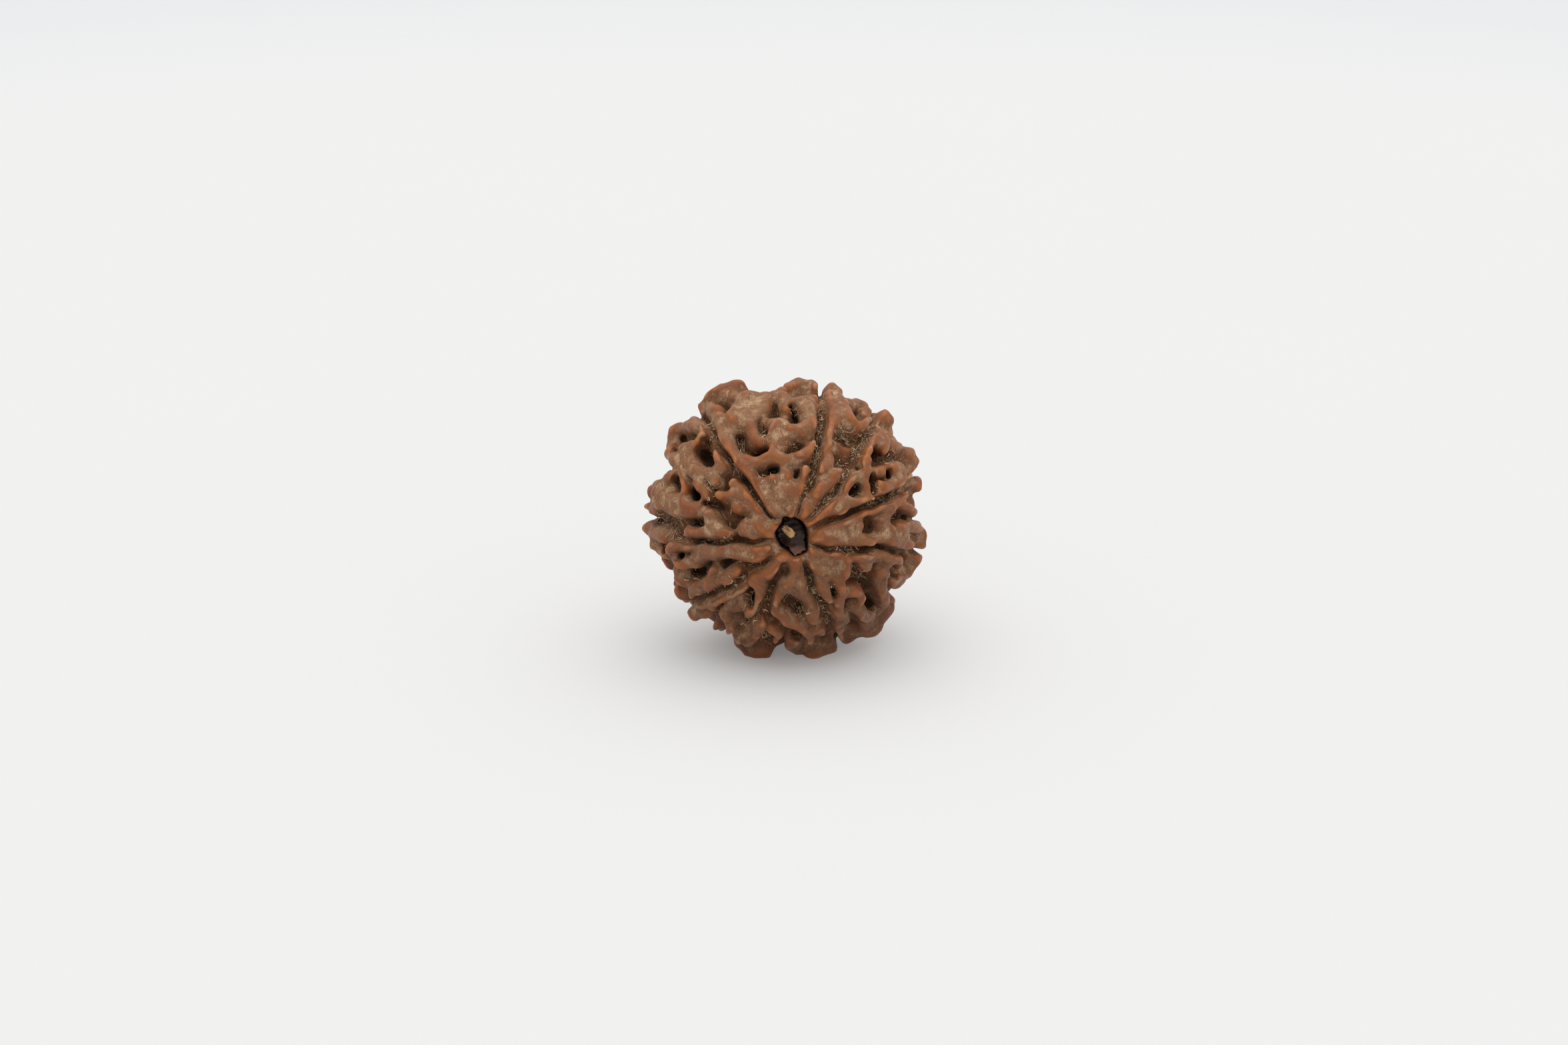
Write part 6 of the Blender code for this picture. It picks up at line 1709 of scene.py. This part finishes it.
class SeedStoneLook(bpy.types.PropertyGroup):
    """Fineness and colours of the stone"""
    cell: number_prop("Grid step", "Step of the stone's sampling grid in millimetres", 0.17,
                      min=0.12, max=0.4)
    rounds: count_prop("Smoothing", "Rounds that even out the grid's steps", 5)
    triangles: count_prop("Triangles", "Most triangles of the stone", 192000)
    crest: colour_prop("Crest", "Waxy crests", (0.286, 0.080, 0.020))
    crest_gold: colour_prop("Gold crest", "Lighter waxy crests", (0.345, 0.112, 0.027))
    tip: colour_prop("Tip", "Thin translucent tips of the horns", (0.44, 0.150, 0.044))
    slope: colour_prop("Slope", "Sides of the ridges", (0.118, 0.035, 0.008))
    slope_red: colour_prop("Red slope", "Redder patches of the sides", (0.160, 0.039, 0.012))
    dust: colour_prop("Dust", "Caked dust on flats and slopes", (0.66, 0.425, 0.255))
    dust_tan: colour_prop("Tan dust", "Thin even dust that lets the stone show", (0.268, 0.125, 0.056))
    speck: colour_prop("Speck", "Pale specks", (0.62, 0.47, 0.31))
    valley: colour_prop("Valley", "Groove floors", (0.055, 0.019, 0.006))
    valley_tan: colour_prop("Tan valley", "Fibrous patches of the groove floors", (0.128, 0.049, 0.015))
    lint: colour_prop("Lint", "Fibrous specks of the groove floors", (0.24, 0.122, 0.050))
    pit_shade: colour_prop("Pit", "Deep pits", (0.026, 0.011, 0.005))
    mouth: colour_prop("Mouth wall", "Wall inside the mouth", (0.016, 0.008, 0.006))


class SeedMouthLook(bpy.types.PropertyGroup):
    """Fit and colours of the pith and the strand"""
    gap: number_prop("Gap", "Room round the pith's face in millimetres", 0.13, min=0.1)
    pith: colour_prop("Pith", "Dried core", (0.016, 0.007, 0.005))
    pith_brown: colour_prop("Brown pith", "Lighter patches of the core", (0.055, 0.020, 0.013))
    pith_red_lit_edge: colour_prop("Pith rim", "Raised lower edge of the core", (0.26, 0.110, 0.070))
    cup_rim_sheen: colour_prop("Cup rim", "Bluish rim of the core's cup", (0.060, 0.064, 0.078))
    straw: colour_prop("Straw", "Near end of the strand", (0.64, 0.40, 0.155))
    straw_shaded: colour_prop("Brown straw", "Far end of the strand", (0.24, 0.12, 0.055))
    straw_dark: colour_prop("Dark straw", "Furrows of the strand", (0.24, 0.12, 0.045))


class SeedFibreLook(bpy.types.PropertyGroup):
    """Number, size and colours of the shredded fibres"""
    density: number_prop("Density", "Share of the usual number of fibres", 1.0, min=0.0)
    stray_count: count_prop("Stray fibres", "Fibres away from the drawn tufts", 900)
    lint_count: count_prop("Lint", "Tiny bits of fibre round the others", 4500)
    flakes: number_prop("Flakes", "Share of the fibres that are short and wide", 0.50)
    proud: number_prop("Highest", "Highest a fibre reaches over the crests, in millimetres", -0.10)
    length: number_prop("Length", "Usual length in millimetres", 0.66, min=0.1)
    radius: number_prop("Radius", "Usual half width in millimetres", 0.045, min=0.01)
    pale: colour_prop("Pale fibre", "Palest fibres", (1.0, 0.75, 0.46))
    brown: colour_prop("Brown fibre", "Darkest fibres", (0.36, 0.175, 0.080))
    dark: colour_prop("Fibre shade", "Soiled stretches", (0.20, 0.090, 0.040))


class SeedStageLook(bpy.types.PropertyGroup):
    """Board and light round the seed"""
    floor: colour_prop("Board", "Colour of the board", (0.735, 0.735, 0.730))
    floor_far_shaded: colour_prop("Far board", "Colour far behind the seed", (0.655, 0.672, 0.694))
    glow: number_prop("Board glow", "Light the board gives by itself", 0.17, min=0.0)
    sky: colour_prop("Sky light", "Even light from all sides", (0.565, 0.566, 0.565))
    backdrop: colour_prop("Backdrop", "What shows past the board", (0.80, 0.815, 0.835))
    floor_half: number_prop("Board half width", "Half the board's width", 3.0, unit="LENGTH")
    sun: number_prop("Top light", "Strength of the top light", 1.28, min=0.0)
    sun_size: angle_prop("Light size", "Angle that the top light fills", 90)
    sun_back: angle_prop("Light tilt", "How far the light leans from behind", -8)
    sun_side: angle_prop("Light lean", "How far the light leans from the left", 2)


class SEED_OT_stone(bpy.types.Operator):
    """Build the ridged stone with its waxy crests, dusty slopes and dark valleys"""
    bl_idname = "seed.stone"
    bl_label = "Stone"
    bl_options = {"REGISTER", "UNDO"}

    def execute(self, context):
        build_stone(context.scene.seed_stone)
        return {"FINISHED"}


class SEED_OT_mouth(bpy.types.Operator):
    """Build the dried pith in the mouth of the bore and the stub of strand on it"""
    bl_idname = "seed.mouth"
    bl_label = "Pith and Strand"
    bl_options = {"REGISTER", "UNDO"}

    def execute(self, context):
        build_pith(context.scene.seed_mouth)
        build_strand(context.scene.seed_mouth)
        return {"FINISHED"}


class SEED_OT_fibres(bpy.types.Operator):
    """Lay shredded fibres in the grooves and pits of the stone, and its hairline cracks"""
    bl_idname = "seed.fibres"
    bl_label = "Fibres and Cracks"
    bl_options = {"REGISTER", "UNDO"}

    def execute(self, context):
        stone = bpy.data.objects["stone_skin"]
        ground = Ground(stone)
        build_fibres(ground, stone, context.scene.seed_fibres)
        build_cracks(ground)
        return {"FINISHED"}


class SEED_OT_stage(bpy.types.Operator):
    """Set up the pale board, the soft light and the photo's camera"""
    bl_idname = "seed.stage"
    bl_label = "Stage"
    bl_options = {"REGISTER", "UNDO"}

    def execute(self, context):
        build_stage(context.scene.seed_stage)
        return {"FINISHED"}


class SEED_PT_panel(bpy.types.Panel):
    """Sizes, colours and steps of the rudraksha seed"""
    bl_idname = "SEED_PT_panel"
    bl_label = "Rudraksha Seed"
    bl_space_type = "VIEW_3D"
    bl_region_type = "UI"
    bl_category = "Seed"

    def draw(self, context):
        for word, operator in STEPS:
            look = getattr(context.scene, word)
            box = self.layout.box()
            for prop in look.bl_rna.properties:
                if prop.identifier not in ("rna_type", "name"):
                    box.prop(look, prop.identifier)
            box.operator(operator)


STEPS = [("seed_stone", "seed.stone"), ("seed_mouth", "seed.mouth"),
         ("seed_fibres", "seed.fibres"), ("seed_stage", "seed.stage")]
LOOKS = {"seed_stone": SeedStoneLook, "seed_mouth": SeedMouthLook,
         "seed_fibres": SeedFibreLook, "seed_stage": SeedStageLook}
CLASSES = [*LOOKS.values(), SEED_OT_stone, SEED_OT_mouth, SEED_OT_fibres, SEED_OT_stage, SEED_PT_panel]


def register():
    for cls in CLASSES:
        bpy.utils.register_class(cls)
    for word, cls in LOOKS.items():
        setattr(bpy.types.Scene, word, PointerProperty(type=cls))


def unregister():
    for word in LOOKS:
        delattr(bpy.types.Scene, word)
    for cls in reversed(CLASSES):
        bpy.utils.unregister_class(cls)


def main():
    register()
    bpy.ops.seed.stone()
    bpy.ops.seed.mouth()
    bpy.ops.seed.fibres()
    bpy.ops.seed.stage()


if __name__ == "__main__":
    main()
